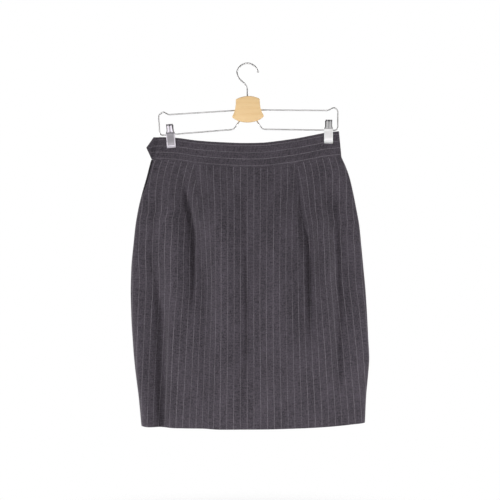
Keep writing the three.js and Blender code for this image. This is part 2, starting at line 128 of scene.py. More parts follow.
def column_curve(rows: Sequence[Sequence[float]], value: int) -> Callable[[Any], Array]:
    """A smooth function of a table's first column.

    Args:
        rows: The table.
        value: Which column the function gives.

    Returns:
        The function.
    """
    ordered = np.array(sorted(rows), float)
    return lambda at: smooth_through(ordered[:, 0], ordered[:, value], at)


# The skirt's side silhouettes: height, left edge, right edge
SIDE_EDGES = (
    (-186, -191, 187.8),
    (-204, -196, 196),
    (-228, -202.2, 204.4),
    (-256, -210.2, 211),
    (-288, -218, 217.4),
    (-324, -224.2, 223.8),
    (-360, -228, 227.4),
    (-408, -232.4, 232),
    (-456, -233.6, 236.4),
    (-504, -232.4, 239.4),
    (-552, -229.6, 241.8),
    (-588, -226.8, 243.6),
    (-620, -223.4, 241.4),
    (-664, -217.8, 237.4),
    (-724, -212, 234.6),
)
# The waistband's upper edge, its height, and the hem: place across, then the value
BAND_TOP = (
    (-188, -146.4),
    (-165, -146.6),
    (-139, -148.2),
    (-103, -153.2),
    (-55, -157),
    (0, -158.8),
    (30, -158),
    (60, -154.8),
    (95, -149.6),
    (130, -142.8),
    (160, -137),
    (183, -134.6),
)
BAND_HEIGHT = ((-190, 45), (0, 48.4), (188, 50))
HEM = (
    (-212, -722.6),
    (-183, -725),
    (-110, -726.4),
    (0, -727.4),
    (105, -725),
    (185, -720.8),
    (235, -716.4),
)
left_edge = column_curve(SIDE_EDGES, 1)
right_edge = column_curve(SIDE_EDGES, 2)
band_top = column_curve(BAND_TOP, 1)
band_height = column_curve(BAND_HEIGHT, 1)
hem_line = column_curve(HEM, 1)


def seam_line(x: Any) -> Array:
    """Height of the seam between the waistband and the skirt."""
    return band_top(x) - band_height(x)


@dataclass(frozen=True)
class Fold:
    """A crest or trough of the cloth, which runs down the skirt.

    Attributes:
        name: What a maker calls it.
        x: Its place at each section height.
        depth: Its depth from the side seams at each section height.
    """

    name: str
    x: tuple[float, ...]
    depth: tuple[float, ...]


@dataclass(frozen=True)
class Crease:
    """A soft ridge or trough laid on top of the folds.

    Attributes:
        name: What it is.
        z: Heights of its points, from the top down.
        x: Its place at those heights.
        lift: How far it stands out there, in millimetres.
        left: Width of its left flank.
        right: Width of its right flank.
    """

    name: str
    z: tuple[float, ...]
    x: tuple[float, ...]
    lift: tuple[float, ...]
    left: float
    right: float

    def relief(self, x: Array, z: Array) -> Array:
        """How far the cloth is lifted at each point.

        Args:
            x: Places across.
            z: Heights.

        Returns:
            The lift in millimetres.
        """
        heights = self.z[::-1]
        away = x - smooth_through(heights, self.x[::-1], z)
        width = np.where(away < 0, self.left, self.right)
        inside = (z >= heights[0]) & (z <= heights[-1])
        lift = np.where(inside, smooth_through(heights, self.lift[::-1], z), 0)
        return lift * np.exp(-((away / width) ** 2))


@dataclass(frozen=True)
class Ease:
    """Fullness that the cloth holds on one side of its middle, besides what the folds take.

    Attributes:
        start: Fold number where the fullness begins.
        end: Fold number where all of it is taken.
        rows: Heights, each with the extra cloth there.
    """

    start: float
    end: float
    rows: tuple[tuple[float, float], ...]

    def taken(self, c: Array, z: Array) -> Array:
        """Extra cloth at each point, below 0 on the left side."""
        sign = 1 if self.end > self.start else -1
        return sign * column_curve(self.rows, 1)(z) * smooth_step(c, self.start, self.end)


@dataclass(frozen=True)
class Dart:
    """A sewn dart that takes cloth in between the seam and its tip.

    Attributes:
        fold: Number of the fold line that it lies on.
        intake: Cloth that it takes in at the top.
        tip_z: Height of its tip.
        width: Half width of its sunk line.
        sink: Depth of its sunk line.
        fade: Height above the tip over which the line sinks in.
        pucker: How far the cloth swells out at the tip.
        pucker_height: How far the swelling reaches up and down from the tip.
        pucker_half: Half width of the swelling.
    """

    fold: int
    intake: float
    tip_z: float
    width: float = 1.3
    sink: float = 0.75
    fade: float = 40
    pucker: float = 0.8
    pucker_height: float = 26
    pucker_half: float = 9

    def relief(self, away: Array, z: Array) -> Array:
        """How far the dart lifts the cloth.

        Args:
            away: Distances from the dart's line, across.
            z: Heights.

        Returns:
            The lift in millimetres, below 0 where the line is sunk.
        """
        sunk = self.sink * smooth_step(z, self.tip_z, self.tip_z + self.fade)
        swell = self.pucker * smooth_step(np.abs(z - self.tip_z), self.pucker_height, 0)
        line = np.exp(-((away / self.width) ** 2))
        return swell * np.exp(-((away / self.pucker_half) ** 2)) - sunk * line


SECTION_Z = (-204, -252, -302, -352, -432, -512, -592, -720)
FRONT_FOLDS = (
    Fold("shoulder_left", (-183, -199, -209, -217, -222, -218, -213, -199), (2.5, 5, 7.5, 8, 9, 14, 17, 19)),
    Fold(
        "side_trough",
        (-169, -183, -192, -197, -184, -174, -174, -173),
        (2.5, 4.5, 6.5, 8, 7, 3.5, 2.5, 2.5),
    ),
    Fold("left_ridge", (-155, -153, -151, -147, -145, -144, -146, -148), (2.8, 12, 19, 22, 24, 23, 21, 18)),
    Fold("dart_trough", (-133, -125, -114, -110, -110, -114, -115, -115), (2.9, 3.5, 4.5, 6, 9, 17, 19, 19)),
    Fold("left_dart", (-104, -102.6, -99, -91, -88, -87, -89, -89), (6, 12.5, 19, 15, 10, 15, 18, 19)),
    Fold("left_plateau", (-51, -51, -55, -54, -50, -49, -51, -58), (9.4, 23, 36, 39, 39, 38, 36, 31)),
    Fold("centre_trough", (-3, -4, -2, -1, -1, 0, 3, 1), (9.6, 13, 19, 23, 25, 24, 24, 27)),
    Fold("right_plateau", (45, 45, 45, 41, 41, 44, 52, 49), (9.6, 18, 30, 35, 39, 39, 38, 29)),
    Fold("right_foot", (84, 85, 88, 91, 93, 96, 101, 101), (7.5, 13, 16, 18, 22, 26, 29, 28)),
    Fold("right_dart", (100, 101.8, 107, 121, 126, 124, 126, 129), (4.7, 5, 6, 8, 10.5, 16, 24, 27)),
    Fold("right_ridge", (135, 137, 143, 147, 152, 158, 157, 165), (4, 17, 28, 33, 33, 31, 30, 24)),
    Fold("right_dent", (161, 163, 170, 175, 178, 182, 181, 190), (2.5, 4.5, 12, 15, 16, 17, 18, 19)),
    Fold(
        "shoulder_right",
        (180, 195, 205, 211, 216, 219, 221, 220),
        (2.5, 5.5, 6.5, 8.5, 10.5, 12.5, 12.5, 14),
    ),
)
BACK_FOLDS = (
    Fold("shoulder_left", (-183, -197, -207, -213, -218, -216, -211, -197), (3.3, 5.4, 8, 9, 10, 11, 12, 12)),
    Fold("left_ridge", (-160, -158, -156, -155, -156, -155, -152, -148), (2.4, 8, 13, 16, 17, 17, 16, 15)),
    Fold("left_dart", (-88, -90, -93, -102, -106, -108, -108, -106), (6.5, 9, 11, 11, 12, 13, 13, 13)),
    Fold("left_crown", (-45, -47, -49, -52, -55, -57, -58, -58), (8.4, 13, 18, 21, 22, 22, 21, 19)),
    Fold("centre_back", (0, 0, 2, 3, 4, 4, 5, 5), (8.6, 12, 16, 18, 19, 19, 18, 17)),
    Fold("right_crown", (48, 50, 52, 56, 60, 63, 64, 64), (8.4, 13, 18, 21, 22, 21, 20, 18)),
    Fold("right_dart", (90, 92, 95, 106, 112, 116, 118, 118), (6.5, 9, 11, 11, 12, 12, 13, 13)),
    Fold("right_ridge", (160, 160, 160, 161, 165, 168, 169, 167), (2.4, 8, 13, 16, 17, 17, 16, 15)),
    Fold("shoulder_right", (180, 193, 203, 209, 215, 219, 221, 218), (2.5, 5, 8, 9, 10, 11, 12, 12)),
)
FRONT_CREASES = (
    Crease(
        "left_low_trough",
        (-440, -474, -512, -572, -632, -700, -724),
        (-182, -172, -166, -165, -165, -166, -167),
        (0, -4, -7, -7, -7, -5, -2),
        left=14,
        right=3.5,
    ),
    Crease(
        "left_low_edge",
        (-460, -500, -560, -640, -700, -724),
        (-164, -154, -154, -154, -156, -158),
        (0, 2.5, 3, 3, 2, 1),
        left=4.5,
        right=14,
    ),
    Crease(
        "side_pull",
        (-206, -260, -310, -380, -450, -500),
        (-170, -176, -184, -190, -178, -168),
        (-1, -3.5, -5, -5, -4, 0),
        left=9,
        right=6,
    ),
    Crease(
        "dart_fold",
        (-204, -240, -272, -300, -345, -400, -456, -500),
        (-128, -125, -122, -114, -109, -109, -112, -113),
        (0, -2, -5, -6, -8, -7.5, -5.5, 0),
        left=6,
        right=6,
    ),
    Crease(
        "middle_fold",
        (-230, -272, -332, -392, -452, -512, -572, -632, -700),
        (-14, -13, -8, -6, -4, -3, -3, -5, -4),
        (0, -4, -5, -5.5, -7, -7, -7, -5, 0),
        left=8,
        right=8,
    ),
    Crease(
        "right_dart_fold",
        (-230, -272, -332, -392, -452, -512, -600),
        (114, 130, 130, 129, 126, 125, 124),
        (0, -5, -5, -4.5, -5, -4.5, 0),
        left=8,
        right=6,
    ),
    Crease(
        "right_top_pull",
        (-215, -250, -290, -340),
        (144, 150, 156, 160),
        (0, -3.5, -4, 0),
        left=9,
        right=9,
    ),
    Crease(
        "right_pull",
        (-240, -290, -332, -392, -452, -520, -600, -680),
        (172, 172, 175, 177, 178, 180, 180, 178),
        (0, -4, -5, -6, -5.5, -5, -4.5, 0),
        left=8,
        right=7,
    ),
    Crease(
        "right_low_break",
        (-440, -470, -500, -540),
        (176, 188, 201, 210),
        (0, -3, -3, 0),
        left=6,
        right=9,
    ),
)
BACK_CREASES = (
    Crease("left_side_break", (-400, -460, -520, -600), (-186, -178, -172, -176), (0, -1.8, -1.6, 0), 9, 6),
    Crease("right_side_break", (-380, -450, -520, -600), (184, 190, 196, 192), (0, -1.6, -1.8, 0), 6, 10),
    Crease("seat_pull_left", (-230, -300, -370, -450), (-120, -126, -131, -132), (0, -1.3, -1.1, 0), 9, 7),
    Crease("seat_pull_right", (-225, -290, -360, -440), (124, 130, 136, 140), (0, -1.2, -1.2, 0), 7, 9),
)


# Levels at which cloth is measured: below the hem, above the seam, and the step between them
CUT_LEVELS = (-744.0, -128.0, 4.0)


@dataclass
class FoldSheet:
    """One panel of cloth between the side edges, bent into the folds of its table.

    Attributes:
        folds: The crests and troughs, from left to right.
        darts: The sewn darts, each on a fold line.
        creases: The finer ridges and troughs.
        centre_x: Where the panel's middle stripe runs.
        inset: How far the left edge is drawn in at a height.
        eases: The fullness on either side.
    """

    folds: tuple[Fold, ...]
    darts: tuple[Dart, ...]
    creases: tuple[Crease, ...]
    centre_x: float
    inset: Callable[[Array], Array]
    eases: tuple[Ease, ...] = ()

    def at(self, c: Array, z: Array) -> tuple[Array, Array]:
        """The place across and the depth of points of the sheet.

        Args:
            c: Fold numbers, where 0 and the last one are the side edges.
            z: Heights.

        Returns:
            The places across and the depths.
        """
        heights = SECTION_Z[::-1]
        xs = np.stack([smooth_through(heights, fold.x[::-1], z) for fold in self.folds], -1)
        depths = np.stack([smooth_through(heights, fold.depth[::-1], z) for fold in self.folds], -1)
        count = len(self.folds)
        x = smooth_through(np.arange(1, count + 1), xs, c)
        depth = smooth_through(xs, depths, x, flat_ends=True)
        left = left_edge(z) + self.inset(z)
        right = right_edge(z)
        turn = c * math.pi / 2
        x = np.where(c <= 1, left + (xs[..., 0] - left) * (1 - np.cos(turn)), x)
        depth = np.where(c <= 1, depths[..., 0] * np.sin(turn), depth)
        turn = (count + 1 - c) * math.pi / 2
        x = np.where(c >= count, right + (xs[..., -1] - right) * (1 - np.cos(turn)), x)
        depth = np.where(c >= count, depths[..., -1] * np.sin(turn), depth)
        return x, depth

    def top_depth(self, x: Array) -> Array:
        """Depth of the sheet along its top section.

        Args:
            x: Places across.

        Returns:
            The depths there.
        """
        xs = [fold.x[0] for fold in self.folds]
        depths = [fold.depth[0] for fold in self.folds]
        return smooth_through(xs, depths, x, flat_ends=True)

    def cloth_across(self, c: Array, z: Array) -> Array:
        """Length of cloth from the middle stripe to each column, without the darts' intake.

        Args:
            c: The columns' fold numbers.
            z: Heights of the grid, with a column for each fold number.

        Returns:
            Signed lengths, to the left of the middle stripe below 0.
        """
        levels = np.arange(*CUT_LEVELS)
        x, depth = self.at(*np.broadcast_arrays(c[None, :], levels[:, None]))
        run = np.hypot(np.diff(x, axis=1), np.diff(depth, axis=1)).cumsum(axis=1)
        run = np.pad(run, ((0, 0), (1, 0)))
        middle = np.array([np.interp(self.centre_x, x[j], run[j]) for j in range(len(levels))])
        run -= middle[:, None]
        return np.stack([np.interp(z[:, i], levels, run[:, i]) for i in range(len(c))], -1)


# How far the side opening gapes, and the heights where it begins to and does in full
OPENING_GAPE = 4
OPENING_FROM = -282
OPENING_FULL = -236


def opening_inset(z: Any) -> Array:
    """How far the front's side edge is drawn in where the side opening gapes."""
    return OPENING_GAPE * smooth_step(z, OPENING_FROM, OPENING_FULL)


def no_inset(z: Any) -> Array:
    """A side edge that isn't drawn in."""
    return np.zeros(np.shape(z))


# The front's fullness beside its middle, on the left and on the right: height, extra cloth
LEFT_FULLNESS = ((-204, 0), (-252, 4), (-312, 10), (-392, 7), (-552, 7), (-720, 4))
RIGHT_FULLNESS = ((-204, 0), (-252, 4), (-312, 8), (-392, 4), (-552, 3), (-720, 0))
FRONT_EASES = (Ease(6.2, 4.0, LEFT_FULLNESS), Ease(8.5, 11.0, RIGHT_FULLNESS))
FRONT_DARTS = (Dart(5, 41, -310), Dart(10, 34, -316))
FRONT_SHEET = FoldSheet(FRONT_FOLDS, FRONT_DARTS, FRONT_CREASES, -0.6, opening_inset, FRONT_EASES)
BACK_SHEET = FoldSheet(BACK_FOLDS, (Dart(3, 24, -330), Dart(7, 24, -330)), BACK_CREASES, 0.0, no_inset)


def in_scene(name: str, data: Any) -> bpy.types.Object:
    """Makes an object and links it to the scene.

    Args:
        name: The object's name.
        data: Its mesh, curve, light or camera.

    Returns:
        The object.
    """
    made = bpy.data.objects.new(name, data)
    bpy.context.scene.collection.objects.link(made)
    return made


def poly_curve(name: str, path: Array) -> bpy.types.Object:
    """Makes a curve that runs straight from point to point.

    Args:
        name: The curve's name.
        path: Its points in millimetres.

    Returns:
        The curve's object.
    """
    curve = bpy.data.curves.new(name, "CURVE")
    curve.dimensions = "3D"
    spline = curve.splines.new("POLY")
    spline.points.add(len(path) - 1)
    flat = np.column_stack([path * MM, np.ones(len(path))])
    spline.points.foreach_set("co", flat.astype(np.float32).ravel())
    return in_scene(name, curve)


def taken_as_mesh(carrier: bpy.types.Object, name: str) -> bpy.types.Object:
    """Makes a plain mesh of a curve as its modifiers and its bevel leave it.

    Args:
        carrier: The curve's object, which is removed.
        name: The new piece's name.

    Returns:
        The piece, not yet on its body.
    """
    graph = bpy.context.evaluated_depsgraph_get()
    mesh = bpy.data.meshes.new_from_object(carrier.evaluated_get(graph))
    mesh.name = name
    carrier.modifiers.clear()
    bpy.data.objects.remove(carrier)
    return in_scene(name, mesh)


@dataclass
class MeshDraft:
    """Points, faces and marks of a mesh before Blender holds it.

    Attributes:
        points: Points in millimetres.
        faces: Corner numbers of each face.
        uvs: The cloth coordinates of each face's corners, in millimetres.
        marks: Named numbers for each point.
    """

    points: Array
    faces: list[tuple[int, ...]]
    uvs: Optional[list[tuple[float, float]]] = None
    marks: dict[str, Array] = field(default_factory=dict)

    def turned_out(self) -> "MeshDraft":
        """Turns every face round if the closed mesh is inside out.

        Returns:
            The draft itself.
        """
        fans = [(face[0], face[k], face[k + 1]) for face in self.faces for k in range(1, len(face) - 1)]
        triangles = np.array(fans)
        a, b, c = (self.points[triangles[:, k]] for k in range(3))
        if np.einsum("ij,ij->i", a, np.cross(b, c)).sum() < 0:
            if self.uvs is not None:
                start = 0
                for face in self.faces:
                    self.uvs[start : start + len(face)] = self.uvs[start : start + len(face)][::-1]
                    start += len(face)
            self.faces = [face[::-1] for face in self.faces]
        return self

    def piece(self, name: str, material: bpy.types.Material) -> bpy.types.Object:
        """Makes the Blender object.

        Args:
            name: The piece's name.
            material: Its finish.

        Returns:
            The object, at the origin.
        """
        mesh = bpy.data.meshes.new(name)
        mesh.from_pydata((self.points * MM).tolist(), [], self.faces)
        if self.uvs is not None:
            layer = mesh.uv_layers.new(name="cloth")
            layer.data.foreach_set("uv", (np.array(self.uvs) * MM).astype(np.float32).ravel())
        for mark, values in self.marks.items():
            attribute = mesh.attributes.new(mark, "FLOAT", "POINT")
            attribute.data.foreach_set("value", values.astype(np.float32).ravel())
        mesh.polygons.foreach_set("use_smooth", [True] * len(mesh.polygons))
        mesh.materials.append(material)
        mesh.update()
        return in_scene(name, mesh)


@dataclass
class Rims:
    """Which way a wall's thickness runs at its rims.

    Attributes:
        square_left: Whether it runs square to an axis at the first column.
        square_right: Whether it runs square to that axis at the last column.
        level_ends: Whether it runs level at the first and the last row.
        square_axis: The axis, by its number.
    """

    square_left: bool = True
    square_right: bool = True
    level_ends: bool = True
    square_axis: int = 1


def wall_shell(
    grid: Array,
    wall: Any,
    facing: int,
    rims: Rims,
    across: Optional[tuple[Array, Array]] = None,
    down: Optional[Array] = None,
    marks: Optional[Mapping[str, Array]] = None,
) -> MeshDraft:
    """A closed wall whose outer face is a grid of points.

    Args:
        grid: Points in rows and columns.
        wall: Thickness, for the whole or for each point.
        facing: Sign that turns the grid's own normals outwards.
        rims: How the rims are squared.
        across: Cloth coordinate across, as seen from each column's left and right side.
        down: Cloth coordinate down.
        marks: Named numbers for each point of the grid.

    Returns:
        The closed draft.
    """
    rows, columns = grid.shape[:2]
    padded = np.pad(grid, ((1, 1), (1, 1), (0, 0)), mode="edge")
    normals = np.cross(padded[1:-1, 2:] - padded[1:-1, :-2], padded[2:, 1:-1] - padded[:-2, 1:-1]) * facing
    if rims.square_left:
        normals[:, 0, rims.square_axis] = 0
    if rims.square_right:
        normals[:, -1, rims.square_axis] = 0
    if rims.level_ends:
        normals[[0, -1], :, 2] = 0
    normals /= np.linalg.norm(normals, axis=-1, keepdims=True)
    inner = grid - normals * np.broadcast_to(wall, (rows, columns))[..., None]
    points = np.concatenate([grid.reshape(-1, 3), inner.reshape(-1, 3)])
    inside = rows * columns
    faces: list[tuple[int, ...]] = []
    uvs: Optional[list[tuple[float, float]]] = None if across is None else []

    def add(*corners: tuple[int, int, int, int]) -> None:
        """Keeps a face and its cloth coordinates.

        Args:
            corners: Row, column, layer and cloth side of each corner.
        """
        faces.append(tuple(layer * inside + j * columns + i for j, i, layer, _ in corners))
        if uvs is not None:
            uvs.extend((float(across[side][j, i]), float(down[j, i])) for j, i, _, side in corners)

    for j in range(rows - 1):
        for i in range(columns - 1):
            add((j, i, 0, 1), (j + 1, i, 0, 1), (j + 1, i + 1, 0, 0), (j, i + 1, 0, 0))
            add((j, i, 1, 1), (j, i + 1, 1, 0), (j + 1, i + 1, 1, 0), (j + 1, i, 1, 1))
    last = rows - 1
    for i in range(columns - 1):
        add((0, i, 0, 1), (0, i + 1, 0, 0), (0, i + 1, 1, 0), (0, i, 1, 1))
        add((last, i + 1, 0, 0), (last, i, 0, 1), (last, i, 1, 1), (last, i + 1, 1, 0))
    last = columns - 1
    for j in range(rows - 1):
        add((j + 1, 0, 0, 1), (j, 0, 0, 1), (j, 0, 1, 1), (j + 1, 0, 1, 1))
        add((j, last, 0, 0), (j + 1, last, 0, 0), (j + 1, last, 1, 0), (j, last, 1, 0))
    kept = {name: np.tile(values.reshape(-1), 2) for name, values in (marks or {}).items()}
    return MeshDraft(points, faces, uvs, kept).turned_out()


def softened(values: Array, passes: int, axis: int) -> Array:
    """Averages each value with its neighbours along an axis.

    Args:
        values: The values.
        passes: How many times they are averaged.
        axis: The axis.

    Returns:
        The averaged values.
    """
    for _ in range(passes):
        before = np.take(values, [0, *range(values.shape[axis] - 1)], axis)
        after = np.take(values, [*range(1, values.shape[axis]), values.shape[axis] - 1], axis)
        values = (before + 2 * values + after) / 4
    return values


def round_edges(piece: bpy.types.Object, width: float, segments: int, angle: float = 50) -> None:
    """Rounds the sharp edges of a piece with a Bevel modifier.

    Args:
        piece: The piece.
        width: Width of the rounding in millimetres.
        segments: Number of faces across it.
        angle: Edges sharper than this many degrees are rounded.
    """
    bevel = piece.modifiers.new("rounded", "BEVEL")
    bevel.width = width * MM
    bevel.segments = segments
    bevel.limit_method = "ANGLE"
    bevel.angle_limit = math.radians(angle)
    bevel.use_clamp_overlap = True


def finish_piece(piece: bpy.types.Object, nodes: Sequence[str] = ()) -> bpy.types.Object:
    """Hangs a finished piece on the body, and hides the nodes it stands for.

    Args:
        piece: The piece.
        nodes: The CAD nodes that it replaces.

    Returns:
        The piece.
    """
    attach(piece, BODY)
    if nodes:
        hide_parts(*nodes)
    LOG.info("piece %s, %d faces", piece.name, len(piece.data.polygons))
    return piece


class Book:
    """Adds nodes to a tree, for shaders and for geometry alike."""

    def __init__(self, tree: bpy.types.NodeTree) -> None:
        """Keeps the tree that the nodes go into."""
        self.tree = tree

    def node(
        self,
        kind: str,
        settings: Optional[Mapping[str, Any]] = None,
        inputs: Optional[Mapping[Any, Any]] = None,
    ) -> bpy.types.Node:
        """Adds a node, sets it up, and fills or links its sockets.

        Args:
            kind: The node's type.
            settings: Its own properties, set before the sockets.
            inputs: Values, sockets or wrapped sockets, by the socket's name or number.

        Returns:
            The node.
        """
        made = self.tree.nodes.new(kind)
        for name, value in (settings or {}).items():
            setattr(made, name, value)
        for name, value in (inputs or {}).items():
            source = value.socket if isinstance(value, Wave) else value
            if isinstance(source, bpy.types.NodeSocket):
                self.tree.links.new(source, made.inputs[name])
            else:
                made.inputs[name].default_value = source
        return made

    def wave(self, kind: str, output: Any, settings: Any = None, inputs: Any = None) -> "Wave":
        """Adds a node and wraps one of its outputs for maths."""
        return Wave(self, self.node(kind, settings, inputs).outputs[output])


class Wave:
    """A number socket that takes part in Python expressions."""

    def __init__(self, book: Book, socket: bpy.types.NodeSocket) -> None:
        """Keeps the socket and the book that its maths go into."""
        self.book = book
        self.socket = socket

    def math(self, operation: str, *others: Any) -> "Wave":
        """Adds a Math node whose first value is this socket."""
        values = dict(enumerate((self, *others)))
        return self.book.wave("ShaderNodeMath", 0, {"operation": operation}, values)

    def __add__(self, other: Any) -> "Wave":
        """Sum."""
        return self.math("ADD", other)

    __radd__ = __add__

    def __sub__(self, other: Any) -> "Wave":
        """Difference."""
        return self.math("SUBTRACT", other)

    def __rsub__(self, other: float) -> "Wave":
        """Difference from a number."""
        return self.book.wave("ShaderNodeMath", 0, {"operation": "SUBTRACT"}, {0: other, 1: self})

    def __mul__(self, other: Any) -> "Wave":
        """Product."""
        return self.math("MULTIPLY", other)

    __rmul__ = __mul__

    def __truediv__(self, other: Any) -> "Wave":
        """Quotient."""
        return self.math("DIVIDE", other)

    def step(self, low: float, high: float) -> "Wave":
        """Rises softly from 0 at low to 1 at high."""
        ranges = {"Value": self, "From Min": low, "From Max": high, "To Min": 0.0, "To Max": 1.0}
        return self.book.wave("ShaderNodeMapRange", 0, {"interpolation_type": "SMOOTHSTEP"}, ranges)


@dataclass(frozen=True)
class Colour:
    """A colour as it is seen, on the usual 0 to 255 scale.

    Attributes:
        red: Its red.
        green: Its green.
        blue: Its blue.
    """

    red: float
    green: float
    blue: float

    def linear(self) -> tuple[float, float, float, float]:
        """The colour as light, for a socket.

        Returns:
            Its red, green and blue light, and 1 for its alpha.
        """
        parts = [self.red / 255, self.green / 255, self.blue / 255]
        light = [p / 12.92 if p <= 0.04045 else ((p + 0.055) / 1.055) ** 2.4 for p in parts]
        return (light[0], light[1], light[2], 1.0)

    def scaled(self, share: float) -> "Colour":
        """The colour made lighter or darker."""
        return Colour(*(min(255.0, part * share) for part in (self.red, self.green, self.blue)))


class FinishBook(Book):
    """Builds one material around a Principled surface."""

    def __init__(self, name: str) -> None:
        """Makes an empty material.

        Args:
            name: Its name.
        """
        self.material = bpy.data.materials.new(name)
        self.material.use_nodes = True
        super().__init__(self.material.node_tree)
        self.tree.nodes.clear()
        self.object_place = self.node("ShaderNodeTexCoord").outputs["Object"]

    def cloth_place(self) -> tuple[Wave, Wave, bpy.types.NodeSocket]:
        """Reads the cloth coordinates, in metres.

        Returns:
            The one across, the one down, and both as a vector.
        """
        place = self.node("ShaderNodeUVMap", {"uv_map": "cloth"}).outputs[0]
        parts = self.node("ShaderNodeSeparateXYZ", inputs={0: place})
        return Wave(self, parts.outputs[0]), Wave(self, parts.outputs[1]), place

    def noise(
        self, place: Any, scale: tuple[float, float, float], detail: float = 2, rough: float = 0.5
    ) -> Wave:
        """Noise on a stretched place, from 0 to 1.

        Args:
            place: The place's socket.
            scale: How far each axis is stretched.
            detail: How many finer layers it has.
            rough: How strong those layers are.

        Returns:
            The noise.
        """
        stretched = self.node("ShaderNodeMapping", inputs={"Vector": place, "Scale": scale}).outputs[0]
        amounts = {"Vector": stretched, "Scale": 1.0, "Detail": detail, "Roughness": rough}
        return self.wave("ShaderNodeTexNoise", "Fac", {"noise_dimensions": "3D"}, amounts)

    def mix(self, share: Any, first: Any, second: Any) -> bpy.types.NodeSocket:
        """Mixes two colours."""
        made = self.node("ShaderNodeMix", {"data_type": "RGBA"}, {0: share, 6: first, 7: second})
        return made.outputs[2]

    def bump(
        self, height: Wave, distance: float, strength: float, under: Any = None
    ) -> bpy.types.NodeSocket:
        """Makes a bumped normal from a height.

        Args:
            height: The height, from 0 to about 1.
            distance: What a height of 1 stands for, in metres.
            strength: How strongly it shows.
            under: Another normal that this one lies on.

        Returns:
            The normal.
        """
        inputs = {"Height": height, "Distance": distance, "Strength": strength}
        if under is not None:
            inputs["Normal"] = under
        return self.node("ShaderNodeBump", inputs=inputs).outputs[0]

    def surface(self, inputs: Mapping[str, Any]) -> bpy.types.Material:
        """Finishes the material with a Principled surface.

        Args:
            inputs: Values and sockets of the surface, by name.

        Returns:
            The material.
        """
        shader = self.node("ShaderNodeBsdfPrincipled", inputs=inputs)
        self.node("ShaderNodeOutputMaterial", inputs={"Surface": shader.outputs[0]})
        return self.material


@dataclass(frozen=True)
class PinstripeWool:
    """Worsted wool with fine chalk stripes, woven as a twill.

    Attributes:
        ground: Colour between the stripes.
        stripe: Colour of a stripe.
        pitch: Distance between stripes, in metres.
        core: Half width of a stripe's solid part, in metres.
        fade: Half width at which a stripe ends, in metres.
        twill: Distance between the twill's ribs, in metres.
    """

    ground: Colour = Colour(70, 65, 72)
    stripe: Colour = Colour(122, 116, 123)
    pitch: float = 0.0135
    core: float = 0.0002
    fade: float = 0.00085
    twill: float = 0.0009

    def material(self) -> bpy.types.Material:
        """Builds the wool's material.

        Returns:
            The material.
        """
        book = FinishBook("pinstripe_wool")
        across, down, place = book.cloth_place()
        line = across / self.pitch + (book.noise(place, (30, 130, 0), 3) - 0.5) * 0.09
        number = line.math("ROUND")
        away = (line - number).math("ABSOLUTE") * self.pitch
        yarn_place = book.node("ShaderNodeCombineXYZ", inputs={0: number * 7.3, 1: down * 380}).outputs[0]
        broken = book.noise(yarn_place, (1, 1, 1), 2).step(0.3, 0.62) * 0.6 + 0.4
        strength = book.noise(yarn_place, (1, 0.02, 1), 1).step(0.3, 0.7) * 0.5 + 0.6
        stripe = (1 - away.step(self.core, self.fade)) * broken * strength
        cloud = book.noise(place, (24, 12, 0), 3)
        fleck = book.noise(place, (360, 300, 0), 3, 0.7)
        warp = book.noise(place, (620, 70, 0), 2)
        weft = book.noise(place, (70, 520, 0), 2)
        tone = (cloud * 0.16 + fleck * 0.44 + warp * 0.18 + weft * 0.22).step(0.36, 0.64)
        ground = book.mix(tone, self.ground.scaled(0.7).linear(), self.ground.scaled(1.3).linear())
        colour = book.mix(stripe, ground, self.stripe.linear())
        rib = ((across + down * 0.6) * (2 * math.pi / self.twill)).math("SINE")
        yarn = (down * (2 * math.pi / (self.twill * 0.55))).math("SINE")
        height = rib * 0.5 + yarn * 0.2 + fleck * 1.2 + stripe * 0.5
        rumple = book.bump(book.noise(place, (26, 14, 0), 3), 0.002, 0.5)
        normal = book.bump(height, 0.00012, 0.8, rumple)
        return book.surface(
            {
                "Base Color": colour,
                "Roughness": fleck * 0.12 + 0.84,
                "Specular IOR Level": 0.25,
                "Sheen Weight": 0.36,
                "Sheen Roughness": 0.35,
                "Sheen Tint": (0.84, 0.8, 0.83, 1.0),
                "Normal": normal,
            }
        )


@dataclass(frozen=True)
class Thread:
    """Twisted sewing thread or woven tape in one dark colour.

    Attributes:
        name: The material's name.
        colour: Its colour.
        rib: Distance between its ribs, in metres.
    """

    name: str
    colour: Colour
    rib: float = 0.0005

    def material(self) -> bpy.types.Material:
        """Builds the thread's material.

        Returns:
            The material.
        """
        book = FinishBook(self.name)
        grain = book.noise(book.object_place, (900, 900, 900), 2)
        parts = book.node("ShaderNodeSeparateXYZ", inputs={0: book.object_place})
        height = Wave(book, parts.outputs[2])
        ribs = (height * (2 * math.pi / self.rib)).math("SINE")
        colour = book.mix(grain, self.colour.scaled(0.75).linear(), self.colour.scaled(1.3).linear())
        inputs = {"Base Color": colour, "Roughness": grain * 0.2 + 0.65}
        return book.surface({**inputs, "Normal": book.bump(ribs + grain, 0.0001, 0.4)})


@dataclass(frozen=True)
class DrawnWire:
    """Bright chromed wire, with faint drawing marks along it.

    Attributes:
        name: The material's name.
        colour: Its colour.
    """

    name: str = "drawn_wire"
    colour: Colour = Colour(202, 200, 200)

    def material(self) -> bpy.types.Material:
        """Builds the wire's material.

        Returns:
            The material.
        """
        book = FinishBook(self.name)
        marks = book.noise(book.object_place, (60, 60, 60), 3)
        fine = book.noise(book.object_place, (1500, 1500, 1500), 2)
        colour = book.mix(marks, self.colour.scaled(0.9).linear(), self.colour.scaled(1.08).linear())
        inputs = {"Base Color": colour, "Metallic": 1.0, "Roughness": marks * 0.15 + 0.25}
        return book.surface({**inputs, "Normal": book.bump(fine, 0.00001, 0.15)})


